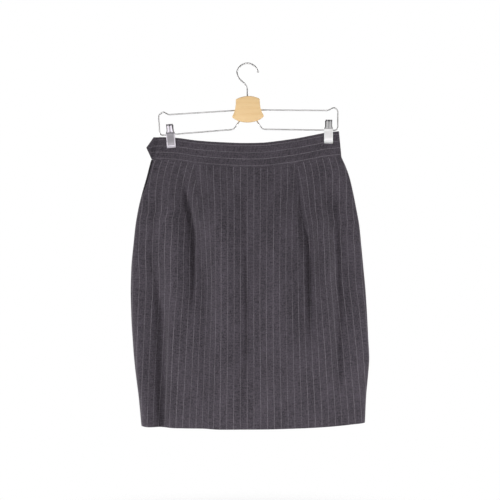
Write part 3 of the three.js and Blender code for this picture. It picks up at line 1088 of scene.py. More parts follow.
@dataclass(frozen=True)
class BrushedSteel:
    """Pressed plate, brushed up and down, with painted shade in its grooves and on a dulled handle, and
    painted highlights on its raised borders and handles.

    Attributes:
        name: The material's name.
        colour: Colour of the plate.
        groove: Colour of the painted shade in its grooves and dips and on a shaded handle.
    """

    name: str
    colour: Colour
    groove: Colour = Colour(58, 54, 58)

    def material(self) -> bpy.types.Material:
        """Builds the steel's material.

        Returns:
            The material.
        """
        book = FinishBook(self.name)
        brushed = book.noise(book.object_place, (1400, 1400, 60), 3)
        broad = book.noise(book.object_place, (120, 120, 20), 2)
        # The groove mark paints shade into the sunk grooves and dips, and over the handles that are set
        # darker.
        dark = book.wave("ShaderNodeAttribute", "Fac", {"attribute_name": "groove"})
        # This mark paints highlights on the raised jaw borders and the handles, towards a lighter copy of the
        # plate's colour.
        painted_highlight = book.wave("ShaderNodeAttribute", "Fac", {"attribute_name": "painted_highlight"})
        tone = brushed * 0.6 + broad * 0.4
        plate = book.mix(tone, self.colour.scaled(0.93).linear(), self.colour.scaled(1.1).linear())
        bright = book.mix(painted_highlight, plate, self.colour.scaled(1.5).linear())
        colour = book.mix(dark, bright, self.groove.linear())
        inputs = {"Base Color": colour, "Metallic": 0.25, "Roughness": tone * 0.2 + 0.36}
        return book.surface({**inputs, "Normal": book.bump(brushed, 0.00004, 0.35)})


@dataclass(frozen=True)
class PaleWood:
    """Honey coloured wood, clear lacquered, with its grain across the block.

    Attributes:
        light: Colour of the light grain.
        dark: Colour of the dark grain.
        pore: Colour of the pores.
        ring: Distance between the rings, in metres.
    """

    light: Colour = Colour(255, 221, 168)
    dark: Colour = Colour(243, 202, 142)
    pore: Colour = Colour(214, 168, 108)
    ring: float = 0.0105

    def material(self) -> bpy.types.Material:
        """Builds the wood's material.

        Returns:
            The material.
        """
        book = FinishBook("pale_wood")
        bend = book.noise(book.object_place, (18, 18, 30), 2)
        parts = book.node("ShaderNodeSeparateXYZ", inputs={0: book.object_place})
        height = Wave(book, parts.outputs[2])
        rings = ((height + bend * 0.02) * (2 * math.pi / self.ring)).math("SINE") * 0.5 + 0.5
        streak = book.noise(book.object_place, (30, 200, 620), 3)
        pores = book.noise(book.object_place, (140, 900, 1800), 2).step(0.64, 0.76)
        grain = rings * 0.22 + streak * 0.78
        plank = book.mix(grain, self.light.linear(), self.dark.linear())
        colour = book.mix(pores * 0.5, plank, self.pore.linear())
        normal = book.bump(grain - pores * 0.6, 0.00012, 0.35)
        return book.surface(
            {
                "Base Color": colour,
                "Roughness": grain * 0.12 + 0.42,
                "Coat Weight": 0.18,
                "Coat Roughness": 0.3,
                "Normal": normal,
            }
        )


@dataclass
class Finishes:
    """The finishes of the whole object, built once.

    Attributes:
        wool: The skirt's cloth.
        thread: Its sewing thread.
        tape: The zip's tape and coil.
        wire: The hook, the loops and the springs.
        left_steel: The left clip's plates, in a grey that paints the darker reflection this clip shows.
        right_steel: The right clip's plates, in a near white that paints the bright reflection this clip
            shows.
        wood: The block.
    """

    wool: bpy.types.Material = field(init=False)
    thread: bpy.types.Material = field(init=False)
    tape: bpy.types.Material = field(init=False)
    wire: bpy.types.Material = field(init=False)
    left_steel: bpy.types.Material = field(init=False)
    right_steel: bpy.types.Material = field(init=False)
    wood: bpy.types.Material = field(init=False)

    def __post_init__(self) -> None:
        """Builds every material."""
        self.wool = PinstripeWool().material()
        self.thread = Thread("sewing_thread", Colour(52, 48, 54)).material()
        self.tape = Thread("zip_tape", Colour(20, 19, 22)).material()
        self.wire = DrawnWire().material()
        # The two clips are the same steel; the left grey and the right near white are painted reflection.
        self.left_steel = BrushedSteel("brushed_steel_left", Colour(162, 158, 164)).material()
        self.right_steel = BrushedSteel("brushed_steel_right", Colour(254, 249, 250)).material()
        self.wood = PaleWood().material()


@dataclass
class StitchRow:
    """A row of equal marks along a path, such as stitches or zip teeth, made by Geometry Nodes.

    Attributes:
        spacing: Distance from one mark to the next.
        length: Length of a mark along the path.
        width: Width of a mark.
        height: Height of a mark off the cloth.
    """

    spacing: float
    length: float
    width: float
    height: float

    def tree(self, material: bpy.types.Material) -> bpy.types.NodeTree:
        """Builds the node tree.

        Args:
            material: The marks' finish.

        Returns:
            The tree, with inputs named Spacing and Size.
        """
        tree = bpy.data.node_groups.new("mark_row", "GeometryNodeTree")
        face = tree.interface
        face.new_socket("Path", in_out="INPUT", socket_type="NodeSocketGeometry")
        face.new_socket("Spacing", in_out="INPUT", socket_type="NodeSocketFloat")
        face.new_socket("Size", in_out="INPUT", socket_type="NodeSocketVector")
        face.new_socket("Marks", in_out="OUTPUT", socket_type="NodeSocketGeometry")
        book = Book(tree)
        given = book.node("NodeGroupInput").outputs
        measured = {"Curve": given["Path"], "Length": given["Spacing"]}
        points = book.node("GeometryNodeCurveToPoints", {"mode": "LENGTH"}, measured)
        tangent = points.outputs["Tangent"]
        along = book.node("FunctionNodeAlignRotationToVector", {"axis": "X"}, {"Vector": tangent})
        bead = book.node("GeometryNodeMeshUVSphere", inputs={"Segments": 8, "Rings": 5, "Radius": 0.5})
        placed = book.node(
            "GeometryNodeInstanceOnPoints",
            inputs={
                "Points": points.outputs["Points"],
                "Instance": bead.outputs["Mesh"],
                "Rotation": along.outputs[0],
                "Scale": given["Size"],
            },
        )
        real = book.node("GeometryNodeRealizeInstances", inputs={"Geometry": placed.outputs[0]})
        smooth = book.node("GeometryNodeSetShadeSmooth", inputs={"Geometry": real.outputs[0]})
        finish = {"Geometry": smooth.outputs[0], "Material": material}
        dressed = book.node("GeometryNodeSetMaterial", inputs=finish)
        book.node("NodeGroupOutput", inputs={"Marks": dressed.outputs[0]})
        return tree

    def along(self, name: str, path: Array, material: bpy.types.Material) -> bpy.types.Object:
        """Sets the marks along a path and bakes them to a plain mesh.

        Args:
            name: The piece's name.
            path: Points of the path in millimetres.
            material: The marks' finish.

        Returns:
            The piece, not yet on its body.
        """
        carrier = poly_curve(name + "_path", path)
        modifier = carrier.modifiers.new("marks", "NODES")
        modifier.node_group = self.tree(material)
        size = (self.length * MM, self.width * MM, self.height * MM)
        for item in modifier.node_group.interface.items_tree:
            if item.name == "Spacing":
                modifier[item.identifier] = self.spacing * MM
            elif item.name == "Size":
                modifier[item.identifier] = size
        return taken_as_mesh(carrier, name)


# Fold numbers closer than this are the same
SAME_FOLD = 1e-6


@dataclass
class SkirtPanel:
    """The front or the back of the skirt, as a shell of cloth with a turned hem.

    Attributes:
        sheet: The folds that it follows.
        side: Front or back.
        steps: Columns of the mesh between two folds.
        rows: Rows of the mesh.
        wall: Thickness of the cloth.
        hem_wall: Thickness where the hem is turned up.
        hem_height: Height of the turned hem.
        hem_end: Height over which its thickness ends.
        seam_half: Half of the gap at the side seams.
        soften: How many times the folds are softened across.
        soften_down: How many times they are softened down.
        kept_rows: Rows below the seam over which the softening sets in.
        turned_left: Fold number up to which the turn at the left edge stays as it is.
        turned_right: How far from the last fold the turn at the right edge stays as it is.
        dart_columns: Distances of the extra columns on either side of a dart.
        hem_groove: Depth of the line where the hem is caught up.
        hem_groove_half: Half width of that line.
        hem_swell: How far the turned hem stands out.
        hem_swell_fade: Half of the height over which it does.
        edge_round: Rounding of the cloth's edges.
        catch_points: Points of the catch stitches' line.
        catch_reach: How far that line swings up and down.
        catch_proud: How far it lies off the hem's inside.
    """

    sheet: FoldSheet
    side: Side
    steps: int = 14
    rows: int = 190
    wall: float = 1.3
    hem_wall: float = 2.5
    hem_height: float = 29
    hem_end: float = 0.6
    seam_half: float = 0.05
    soften: int = 10
    soften_down: int = 6
    kept_rows: int = 12
    turned_left: float = 1.2
    turned_right: float = 0.2
    dart_columns: tuple[float, ...] = (0.012, 0.024, 0.04, 0.06)
    hem_groove: float = 0.28
    hem_groove_half: float = 1.6
    hem_swell: float = 0.18
    hem_swell_fade: float = 3
    edge_round: float = 0.35
    catch_points: int = 240
    catch_reach: float = 1.2
    catch_proud: float = 0.05

    def columns(self) -> Array:
        """Fold numbers of the mesh's columns, closer together at the darts.

        Returns:
            The numbers, rising.
        """
        count = (len(self.sheet.folds) + 1) * self.steps
        numbers = set(np.round(np.arange(count + 1) / self.steps, 5))
        for dart in self.sheet.darts:
            for away in self.dart_columns:
                numbers.update((round(dart.fold - away, 5), round(dart.fold + away, 5)))
        return np.array(sorted(numbers))

    def grid(self, c: Array) -> Array:
        """Points of the outer face, in rows from the seam to the hem.

        Args:
            c: The columns' fold numbers.

        Returns:
            The points, as rows, columns and axes.
        """
        top = seam_line(self.sheet.at(c, np.full(c.shape, float(SECTION_Z[0])))[0])
        bottom = hem_line(self.sheet.at(c, np.full(c.shape, float(SECTION_Z[-1])))[0])
        share = np.linspace(0, 1, self.rows + 1)[:, None]
        z = blend_between(top[None, :], bottom[None, :], share)
        x, depth = self.sheet.at(np.broadcast_to(c, z.shape), z)
        middle = (c > self.turned_left) & (c < len(self.sheet.folds) - self.turned_right)
        soft = softened(softened(depth, self.soften, 1), self.soften_down, 0)
        keep = smooth_step(share * self.rows, self.kept_rows, 0)
        depth = np.where(middle[None, :], blend_between(soft, depth, keep), depth)
        for crease in self.sheet.creases:
            depth = depth + crease.relief(x, z)
        for dart in self.sheet.darts:
            column = int(np.argmin(np.abs(c - dart.fold)))
            depth = depth + dart.relief(x - x[:, column : column + 1], z)
        above_hem = z - bottom[None, :] - self.hem_height
        groove = self.hem_groove * np.exp(-((above_hem / self.hem_groove_half) ** 2))
        swell = self.hem_swell * smooth_step(above_hem, self.hem_swell_fade, -self.hem_swell_fade)
        depth = depth - groove + swell
        return np.stack([x, self.side.value * (self.seam_half + depth), z], -1)

    def stripes(self, c: Array, grid: Array) -> tuple[tuple[Array, Array], Array]:
        """Cloth coordinates of the grid.

        Args:
            c: The columns' fold numbers.
            grid: The panel's points.

        Returns:
            The coordinate across, seen from each column's left and right, and the one down.
        """
        z = grid[..., 2]
        across = self.sheet.cloth_across(c, z)
        left = across.copy()
        right = across.copy()
        top = z[0]
        for dart in self.sheet.darts:
            sign = -1 if dart.fold < len(self.sheet.folds) / 2 else 1
            share = np.clip((z - dart.tip_z) / (float(SECTION_Z[0]) - dart.tip_z), 0, None)
            taken = sign * dart.intake * share
            beyond = (c - dart.fold) * sign
            left += np.where(beyond > sign * SAME_FOLD, taken, 0)
            right += np.where(beyond > -sign * SAME_FOLD, taken, 0)
        for ease in self.sheet.eases:
            taken = ease.taken(c[None, :], z)
            left += taken
            right += taken
        return (left, right), top[None, :] - z

    def build(
        self, name: str, node: str, finishes: Finishes, hangs_from: str, sewn: Any
    ) -> bpy.types.Object:
        """Builds the panel.

        Args:
            name: The piece's name.
            node: The CAD node that it replaces.
            finishes: The finishes.
            hangs_from: The piece that carries it; not used.
            sewn: The stitches that go with it; not used.

        Returns:
            The piece.
        """
        c = self.columns()
        grid = self.grid(c)
        across, down = self.stripes(c, grid)
        above_hem = down[-1][None, :] - down - self.hem_height
        hem = smooth_step(above_hem, self.hem_end, 0)
        wall = blend_between(self.wall, self.hem_wall, hem)
        draft = wall_shell(grid, wall, self.side.value, Rims(), across, down)
        piece = draft.piece(name, finishes.wool)
        round_edges(piece, self.edge_round, segments=2)
        finish_piece(piece, [node])
        width = float((across[0][:, -1] - across[1][:, 0]).max()) * MM
        widths = self.sheet.cloth_across(c, grid[..., 2])[1:, [-1, 0]] @ [1, -1]
        return piece

    def hem_stitches(self, name: str, finishes: Finishes) -> bpy.types.Object:
        """The catch stitches that hold the turned hem, on the inside of the cloth.

        Args:
            name: The piece's name.
            finishes: The finishes.

        Returns:
            The piece.
        """
        c = np.linspace(1.0, len(self.sheet.folds), self.catch_points)
        grid = self.grid(c)
        bottom = grid[-1, :, 2]
        row = np.argmin(np.abs(grid[..., 2] - (bottom + self.hem_height)[None, :]), axis=0)
        line = grid[row, np.arange(len(c))]
        zigzag = np.where(np.arange(len(c)) % 2, self.catch_reach, -self.catch_reach)
        inwards = np.full(len(c), -self.side.value * (self.hem_wall + self.catch_proud))
        inside = line + np.column_stack([np.zeros(len(c)), inwards, zigzag])
        marks = StitchRow(spacing=2.6, length=2.3, width=0.35, height=0.3)
        return finish_piece(marks.along(name, inside, finishes.thread))


@dataclass
class Waistband:
    """One half of the waistband, cut lengthwise so that its stripes run round the waist.

    Attributes:
        sheet: The panel that it is sewn to.
        side: Front or back.
        wall: Its thickness, of folded cloth and stiffening.
        proud: How far it stands out from the panel.
        right_top: Place of its right end at the top.
        right_bottom: Place of its right end at the seam.
        columns: Columns of the mesh before the right turn.
        rows: Rows of the mesh.
        cap: Columns round the right turn.
        stripe_from_top: Distance of the first stripe from the upper edge.
        stripe_pitch: Distance between the stripes as they show.
        cloth_pitch: Distance between the stripes in the cloth.
        left_top: Place of its left end at the top.
        left_bottom: Place of its left end at the seam.
        seam_half: Half of the gap at the right turn.
        stripe_height: Height that the stripes are spread over.
        top_roll: How far its upper edge rolls in.
        bottom_roll: How far its lower edge rolls in.
        roll_shares: Shares of its height where the upper roll ends and the lower one starts.
        ripple: Height of the faint waves of its stiffening.
        ripple_pitch: How far apart they are, as the length of a radian.
        wander: How far they stray from even spacing, in radians.
        wander_pitch: How far apart the straying swings, as the length of a radian.
        ripple_ends: Distances from the middle where the waves are gone and where they are full.
        edge_round: Rounding of its edges.
        stitch_ends: Places where the seam's stitches begin and end.
        stitch_points: Points of the stitches' line.
        stitch_proud: How far that line lies off the panel.
        stitch_drop: How far it runs below the seam.
    """

    sheet: FoldSheet
    side: Side
    wall: float = 2.4
    proud: float = 0.4
    right_top: float = 183
    right_bottom: float = 187.8
    columns: int = 180
    rows: int = 16
    cap: int = 9
    stripe_from_top: float = 5.6
    stripe_pitch: float = 13.15
    cloth_pitch: float = 13.5
    left_top: float = -177
    left_bottom: float = -188.6
    seam_half: float = 0.05
    stripe_height: float = 48.4
    top_roll: float = 0.35
    bottom_roll: float = 0.25
    roll_shares: tuple[float, float] = (0.12, 0.94)
    ripple: float = 0.25
    ripple_pitch: float = 11
    wander: float = 0.6
    wander_pitch: float = 31
    ripple_ends: tuple[float, float] = (176, 150)
    edge_round: float = 0.8
    stitch_ends: tuple[float, float] = (-184, 180)
    stitch_points: int = 180
    stitch_proud: float = 0.02
    stitch_drop: float = 0.35

    def depth(self, x: Array) -> Array:
        """Depth of the band's outer face, with the faint waves of sewn stiffening.

        Args:
            x: Places across.

        Returns:
            The depths there.
        """
        turn = x / self.ripple_pitch + self.wander * np.sin(x / self.wander_pitch)
        inside_ends = smooth_step(np.abs(x), *self.ripple_ends)
        return self.proud + self.sheet.top_depth(x) + self.ripple * np.sin(turn) * inside_ends

    def left_columns(self, down: float, to: float) -> Array:
        """Places of the columns of a row, up to the right turn."""
        return np.linspace(blend_between(self.left_top, self.left_bottom, down), to, self.columns + 1)

    def top_of(self, x: Array) -> Array:
        """Height of the upper edge."""
        return band_top(x)

    def bottom_of(self, x: Array) -> Array:
        """Height of the lower edge."""
        return seam_line(x)

    def grid(self) -> Array:
        """Points of the outer face.

        Returns:
            The points, as rows, columns and axes.
        """
        rows = []
        turns = (np.arange(self.cap) + 1) * math.pi / 2 / self.cap
        for down in np.linspace(0, 1, self.rows + 1):
            right = blend_between(self.right_top, self.right_bottom, down)
            radius = float(self.depth(np.array(right)))
            flat = self.left_columns(float(down), right - radius)
            x = np.concatenate([flat, right - radius + radius * np.sin(turns)])
            depth = np.concatenate([self.depth(flat), radius * np.cos(turns)])
            z = blend_between(self.top_of(x), self.bottom_of(x), down)
            top_roll = self.top_roll * smooth_step(down, self.roll_shares[0], 0)
            roll = top_roll + self.bottom_roll * smooth_step(down, self.roll_shares[1], 1)
            y = self.side.value * (self.seam_half + np.maximum(depth - roll, 0))
            rows.append(np.stack([x, y, z], -1))
        return np.array(rows)

    def build(
        self, name: str, node: str, finishes: Finishes, hangs_from: Sequence[str], sewn: Any
    ) -> bpy.types.Object:
        """Builds the band.

        Args:
            name: The piece's name.
            node: The CAD node that it replaces.
            finishes: The finishes.
            hangs_from: The nodes or pieces that hold it; not used.
            sewn: The stitches that go with it; not used.

        Returns:
            The piece.
        """
        grid = self.grid()
        step = np.linalg.norm(np.diff(grid, axis=1), axis=-1)
        along = np.pad(step.cumsum(axis=1), ((0, 0), (1, 0)))
        share = np.linspace(0, 1, self.rows + 1)[:, None]
        drop = np.broadcast_to(share * self.stripe_height, along.shape)
        across = (drop - self.stripe_from_top) * self.cloth_pitch / self.stripe_pitch
        rims = Rims(square_left=False)
        draft = wall_shell(grid, self.wall, self.side.value, rims, (across, across), along)
        piece = draft.piece(name, finishes.wool)
        round_edges(piece, self.edge_round, segments=3)
        finish_piece(piece, [node])
        return piece

    def seam_stitches(self, name: str, finishes: Finishes) -> bpy.types.Object:
        """The row of stitches sunk in the seam under the band.

        Args:
            name: The piece's name.
            finishes: The finishes.

        Returns:
            The piece.
        """
        x = np.linspace(*self.stitch_ends, self.stitch_points)
        out = self.seam_half + self.sheet.top_depth(x) + self.stitch_proud
        place = [x, self.side.value * out, seam_line(x) - self.stitch_drop]
        marks = StitchRow(spacing=2.8, length=2.2, width=0.32, height=0.32)
        return finish_piece(marks.along(name, np.column_stack(place), finishes.thread))


@dataclass
class BackWaistband(Waistband):
    """The back half of the waistband, whose left end runs on as a pointed underlap.

    Attributes:
        tip_x: Place of the underlap's tip.
        tip_z: Height of its tip.
        tip_half: Half height of its blunt tip.
        corner_x: Place of its lower corner.
        corner_z: Height of its lower corner.
        lap_x: Place of its upper corner.
        drop: How far the band's upper edge lies below the front half's.
        drop_end: Place from which it does in full.
        level_end: Place from which the lower edge follows the seam.
        lap_columns: Columns of the mesh in the underlap.
    """

    tip_x: float = -202.4
    tip_z: float = -167.2
    tip_half: float = 0.6
    corner_x: float = -191.8
    corner_z: float = -191
    lap_x: float = -188
    drop: float = 1
    drop_end: float = -150
    level_end: float = -180
    lap_columns: int = 14

    def left_columns(self, down: float, to: float) -> Array:
        """Places of the columns of a row, with the underlap's first."""
        lap = np.linspace(self.tip_x, self.lap_x, self.lap_columns + 1)
        return np.concatenate([lap, np.linspace(self.lap_x, to, self.columns - self.lap_columns + 1)[1:]])

    def top_of(self, x: Array) -> Array:
        """Height of the upper edge, which slopes up from the underlap's tip.

        Args:
            x: Places across.

        Returns:
            The heights there.
        """
        plain = band_top(x) - self.drop * smooth_step(x, self.lap_x, self.drop_end)
        share = (x - self.tip_x) / (self.lap_x - self.tip_x)
        lap = blend_between(self.tip_z + self.tip_half, float(band_top(self.lap_x)), share)
        return np.where(x >= self.lap_x, plain, lap)

    def bottom_of(self, x: Array) -> Array:
        """Height of the lower edge, which slopes down from the underlap's tip.

        Args:
            x: Places across.

        Returns:
            The heights there.
        """
        level = smooth_step(x, self.corner_x, self.level_end)
        plain = blend_between(self.corner_z, seam_line(x), level)
        share = (x - self.tip_x) / (self.corner_x - self.tip_x)
        lap = blend_between(self.tip_z - self.tip_half, self.corner_z, share)
        return np.where(x >= self.corner_x, plain, lap)


@dataclass
class SideZip:
    """The concealed zip in the left side opening: its tape and its coil.

    Attributes:
        length: Length of the tape.
        from_edge: Where the tape starts, in from the back panel's edge.
        width: Width of the tape.
        thickness: Thickness of the tape.
        coil_from_edge: Where the coil runs.
        below_seam: How far below the band's seam both begin.
        tape_y: Depth of the tape's face.
        columns: Columns of the tape's mesh.
        rows: Rows of the tape's mesh.
        coil_points: Points of the coil's line.
    """

    length: float = 178
    from_edge: float = 1.0
    width: float = 13.4
    thickness: float = 0.5
    coil_from_edge: float = 2.6
    below_seam: float = 0.8
    tape_y: float = 0.1
    columns: int = 4
    rows: int = 60
    coil_points: int = 120

    def line(self, from_edge: float, y: float, count: int) -> Array:
        """Points down the opening.

        Args:
            from_edge: Distance from the back panel's edge.
            y: Depth.
            count: Number of points.

        Returns:
            The points.
        """
        top = float(seam_line(np.array(left_edge(SECTION_Z[0])))) - self.below_seam
        z = top - self.length * np.linspace(0, 1, count)
        return np.column_stack([left_edge(z) + from_edge, np.full(count, y), z])

    def build(self, finishes: Finishes) -> bpy.types.Object:
        """Builds the tape and its coil.

        Args:
            finishes: The finishes.

        Returns:
            The tape.
        """
        places = self.from_edge + self.width * np.linspace(0, 1, self.columns + 1)
        grid = np.stack([self.line(place, self.tape_y, self.rows + 1) for place in places], 1)
        rims = Rims(square_left=False, square_right=False, level_ends=False)
        draft = wall_shell(grid, self.thickness, Side.FRONT.value, rims)
        tape = draft.piece("side_zip_tape", finishes.tape)
        finish_piece(tape, ["side_zip"])
        marks = StitchRow(spacing=1.25, length=0.85, width=1.5, height=0.7)
        line = self.line(self.coil_from_edge, 0.0, self.coil_points)
        finish_piece(marks.along("side_zip_coil", line, finishes.tape))
        return tape


def sweep(path: Array, radius: float, sides: int) -> MeshDraft:
    """A round wire along a path in the hanger's plane, closed at both ends.

    Args:
        path: Points across and up.
        radius: The wire's radius.
        sides: Sides of its section.

    Returns:
        The closed draft.
    """
    tangent = np.gradient(path, axis=0)
    tangent /= np.linalg.norm(tangent, axis=1, keepdims=True)
    turn = np.arange(sides) * 2 * math.pi / sides
    out = np.column_stack([-tangent[:, 1], tangent[:, 0]])
    ring = path[:, None, :] + radius * np.cos(turn)[None, :, None] * out[:, None, :]
    depth = np.broadcast_to(radius * np.sin(turn), ring.shape[:2])
    points = np.stack([ring[..., 0], depth, ring[..., 1]], -1).reshape(-1, 3)
    faces: list[tuple[int, ...]] = []
    for j in range(len(path) - 1):
        for i in range(sides):
            k = (i + 1) % sides
            faces.append((j * sides + i, j * sides + k, (j + 1) * sides + k, (j + 1) * sides + i))
    centres = len(points)
    points = np.concatenate([points, [[path[0, 0], 0, path[0, 1]], [path[-1, 0], 0, path[-1, 1]]]])
    last = (len(path) - 1) * sides
    for i in range(sides):
        k = (i + 1) % sides
        faces.append((k, i, centres))
        faces.append((last + i, last + k, centres + 1))
    return MeshDraft(points, faces).turned_out()


def curve_through(points: Sequence[tuple[float, float]], steps: int) -> Array:
    """A smooth path through points, with its speed fitted to their distances.

    Args:
        points: Points across and up.
        steps: Steps between two points.

    Returns:
        Points of the path.
    """
    given = np.array(points, float)
    given = np.concatenate([[2 * given[0] - given[1]], given, [2 * given[-1] - given[-2]]])
    gaps = np.sqrt(np.linalg.norm(np.diff(given, axis=0), axis=1))
    path = []
    for i in range(1, len(given) - 2):
        before, start, end, after = given[i - 1 : i + 3]
        t0, t1, t2 = gaps[i - 1 : i + 2]
        leave = ((start - before) / t0 - (end - before) / (t0 + t1) + (end - start) / t1) * t1
        reach = ((end - start) / t1 - (after - start) / (t1 + t2) + (after - end) / t2) * t1
        t = (np.arange(steps) / steps)[:, None]
        u = 1 - t
        leaving = start * (1 + 2 * t) * u * u + leave * t * u * u
        reaching = end * (3 - 2 * t) * t * t - reach * u * t * t
        path.append(leaving + reaching)
    return np.concatenate([*path, given[-2:-1]])


# The block's outline, as Bezier curves from its upper left corner on round, each with its steps
BLOCK_CURVES = (
    (((-23.4, -71), (2, -58.4), (24.6, -70)), 18),
    (((24.6, -70), (24.2, -92), (33, -104)), 14),
    (((33, -104), (19, -120), (-15, -121), (-31, -106)), 24),
    (((-31, -106), (-22.6, -93), (-23.4, -71)), 14),
)


@dataclass
class Hanger:
    """The hook, the wooden block and the two wire loops.

    Attributes:
        hook_wire: Radius of the hook's wire.
        hook_sides: Sides of its section.
        hook_radius: Radius of the hook's bend, to the wire's middle.
        hook_centre_z: Height of the bend's centre.
        hook_from: Angle where the bend begins, in degrees.
        hook_to: Angle where it ends.
        hook_count: Points along the bend.
        hook_steps: Steps of the path between two points.
        ball: Place across, height and radius of the ball end.
        ball_tip: Radius of its first and last ring.
        ball_rings: Rings of the ball's mesh.
        ball_sides: Sides of each ring.
        stem: Points of the stem, from the block up to the bend.
        frame_wire: Radius of the loops' wire.
        frame_sides: Sides of its section.
        block_depth: Depth of the block.
        block_round: Rounding of its edges.
        left_loop: Corners of the left loop: place across, height, rounding.
        right_loop: Corners of the right loop.
        straight_steps: Steps of a loop's path between two roundings.
        round_steps: Steps of its path round a corner.
    """

    hook_wire: float = 1.5
    hook_sides: int = 16
    hook_radius: float = 21.2
    hook_centre_z: float = -19.7
    hook_from: float = 172
    hook_to: float = 16
    hook_count: int = 9
    hook_steps: int = 8
    ball: tuple[float, float, float] = (20.8, -15, 2.3)
    ball_tip: float = 0.02
    ball_rings: int = 13
    ball_sides: int = 20
    stem: tuple[tuple[float, float], ...] = (
        (-0.4, -74),
        (-0.4, -60),
        (-1, -48.5),
        (-5.5, -39.6),
        (-13, -32.6),
        (-18.6, -26),
    )
    frame_wire: float = 1.3
    frame_sides: int = 14
    block_depth: float = 12
    block_round: float = 1.7
    left_loop: tuple[tuple[float, float, float], ...] = (
        (-19, -92.6, 0),
        (-158, -101.4, 3),
        (-168.5, -95.4, 4),
        (-178, -102.6, 5),
        (-175.4, -142.9, 8),
        (-27.4, -130.8, 6),
        (-12.2, -108.6, 0),
    )
    right_loop: tuple[tuple[float, float, float], ...] = (
        (21, -91.9, 0),
        (160.5, -93, 3),
        (173.5, -86.6, 4),
        (180.6, -92.4, 5),
        (180.6, -132.7, 8),
        (29.6, -130.5, 6),
        (15.2, -108.6, 0),
    )
    straight_steps: int = 8
    round_steps: int = 10

    def hook(self, finishes: Finishes) -> bpy.types.Object:
        """Builds the hook with its ball end.

        Args:
            finishes: The finishes.

        Returns:
            The ball end.
        """
        turns = np.radians(np.linspace(self.hook_from, self.hook_to, self.hook_count))
        arc = np.column_stack([np.cos(turns), np.sin(turns)]) * self.hook_radius + (0, self.hook_centre_z)
        path = curve_through([*self.stem, *map(tuple, arc)], self.hook_steps)
        wire = sweep(path, self.hook_wire, self.hook_sides).piece("hook_wire", finishes.wire)
        finish_piece(wire, ["hanger_hook"])
        x, z, radius = self.ball
        rings = self.ball_rings
        turn = np.linspace(-math.pi / 2, math.pi / 2, rings)
        profile = np.column_stack([x + radius * np.sin(turn), np.full(rings, z)])
        end = sweep(profile, 1, self.ball_sides)
        spread = np.maximum(radius * np.cos(turn), self.ball_tip)
        around = end.points[:-2].reshape(rings, self.ball_sides, 3)
        centre = np.insert(profile, 1, 0, axis=1)[:, None, :]
        end.points[:-2] = (centre + (around - centre) * spread[:, None, None]).reshape(-1, 3)
        return finish_piece(end.piece("hook_ball", finishes.wire))

    def loop(self, name: str, node: str, corners: Any, finishes: Finishes) -> bpy.types.Object:
        """Builds one wire loop.

        Args:
            name: The piece's name.
            node: The CAD node that it replaces.
            corners: Corner points with their roundings.
            finishes: The finishes.

        Returns:
            The piece.
        """
        places = np.array([corner[:2] for corner in corners], float)
        path = [places[0]]
        for i in range(1, len(places) - 1):
            back, ahead = places[i - 1] - places[i], places[i + 1] - places[i]
            into = places[i] + back / np.linalg.norm(back) * corners[i][2]
            out = places[i] + ahead / np.linalg.norm(ahead) * corners[i][2]
            path.extend(np.linspace(path[-1], into, self.straight_steps + 1)[1:-1])
            for t in np.linspace(0, 1, self.round_steps + 1):
                path.append(into * (1 - t) ** 2 + 2 * places[i] * t * (1 - t) + out * t * t)
        path.append(places[-1])
        wire = sweep(np.array(path), self.frame_wire, self.frame_sides).piece(name, finishes.wire)
        return finish_piece(wire, [node])

    @staticmethod
    def lower_rail(corners_of_loop: Any) -> tuple[tuple[float, float], ...]:
        """The ends of a loop's lower rail, the outer one first."""
        return tuple(corner[:2] for corner in corners_of_loop[4:6])

    def block(self, finishes: Finishes) -> bpy.types.Object:
        """Builds the wooden block with its rounded edges.

        Args:
            finishes: The finishes.

        Returns:
            The piece.
        """
        outline = np.concatenate([bezier(points, steps) for points, steps in BLOCK_CURVES])
        count = len(outline)
        half = self.block_depth / 2
        points = np.concatenate([np.insert(outline, 1, y, axis=1) for y in (-half, half)])
        faces: list[tuple[int, ...]] = [tuple(range(count)), tuple(range(2 * count - 1, count - 1, -1))]
        faces += [(i, i + count, (i + 1) % count + count, (i + 1) % count) for i in range(count)]
        piece = MeshDraft(points, faces).turned_out().piece("wood_block", finishes.wood)
        round_edges(piece, self.block_round, segments=5, angle=60)
        return finish_piece(piece, ["hanger_block"])


def bezier(points: Sequence[tuple[float, float]], steps: int) -> Array:
    """Points of a Bezier curve, without its last one.

    Args:
        points: Its control points.
        steps: Its number of steps.

    Returns:
        The points.
    """
    t = (np.arange(steps) / steps)[:, None]
    level = [np.array(point, float)[None, :] for point in points]
    while len(level) > 1:
        level = [a * (1 - t) + b * t for a, b in zip(level[:-1], level[1:])]
    return level[0]


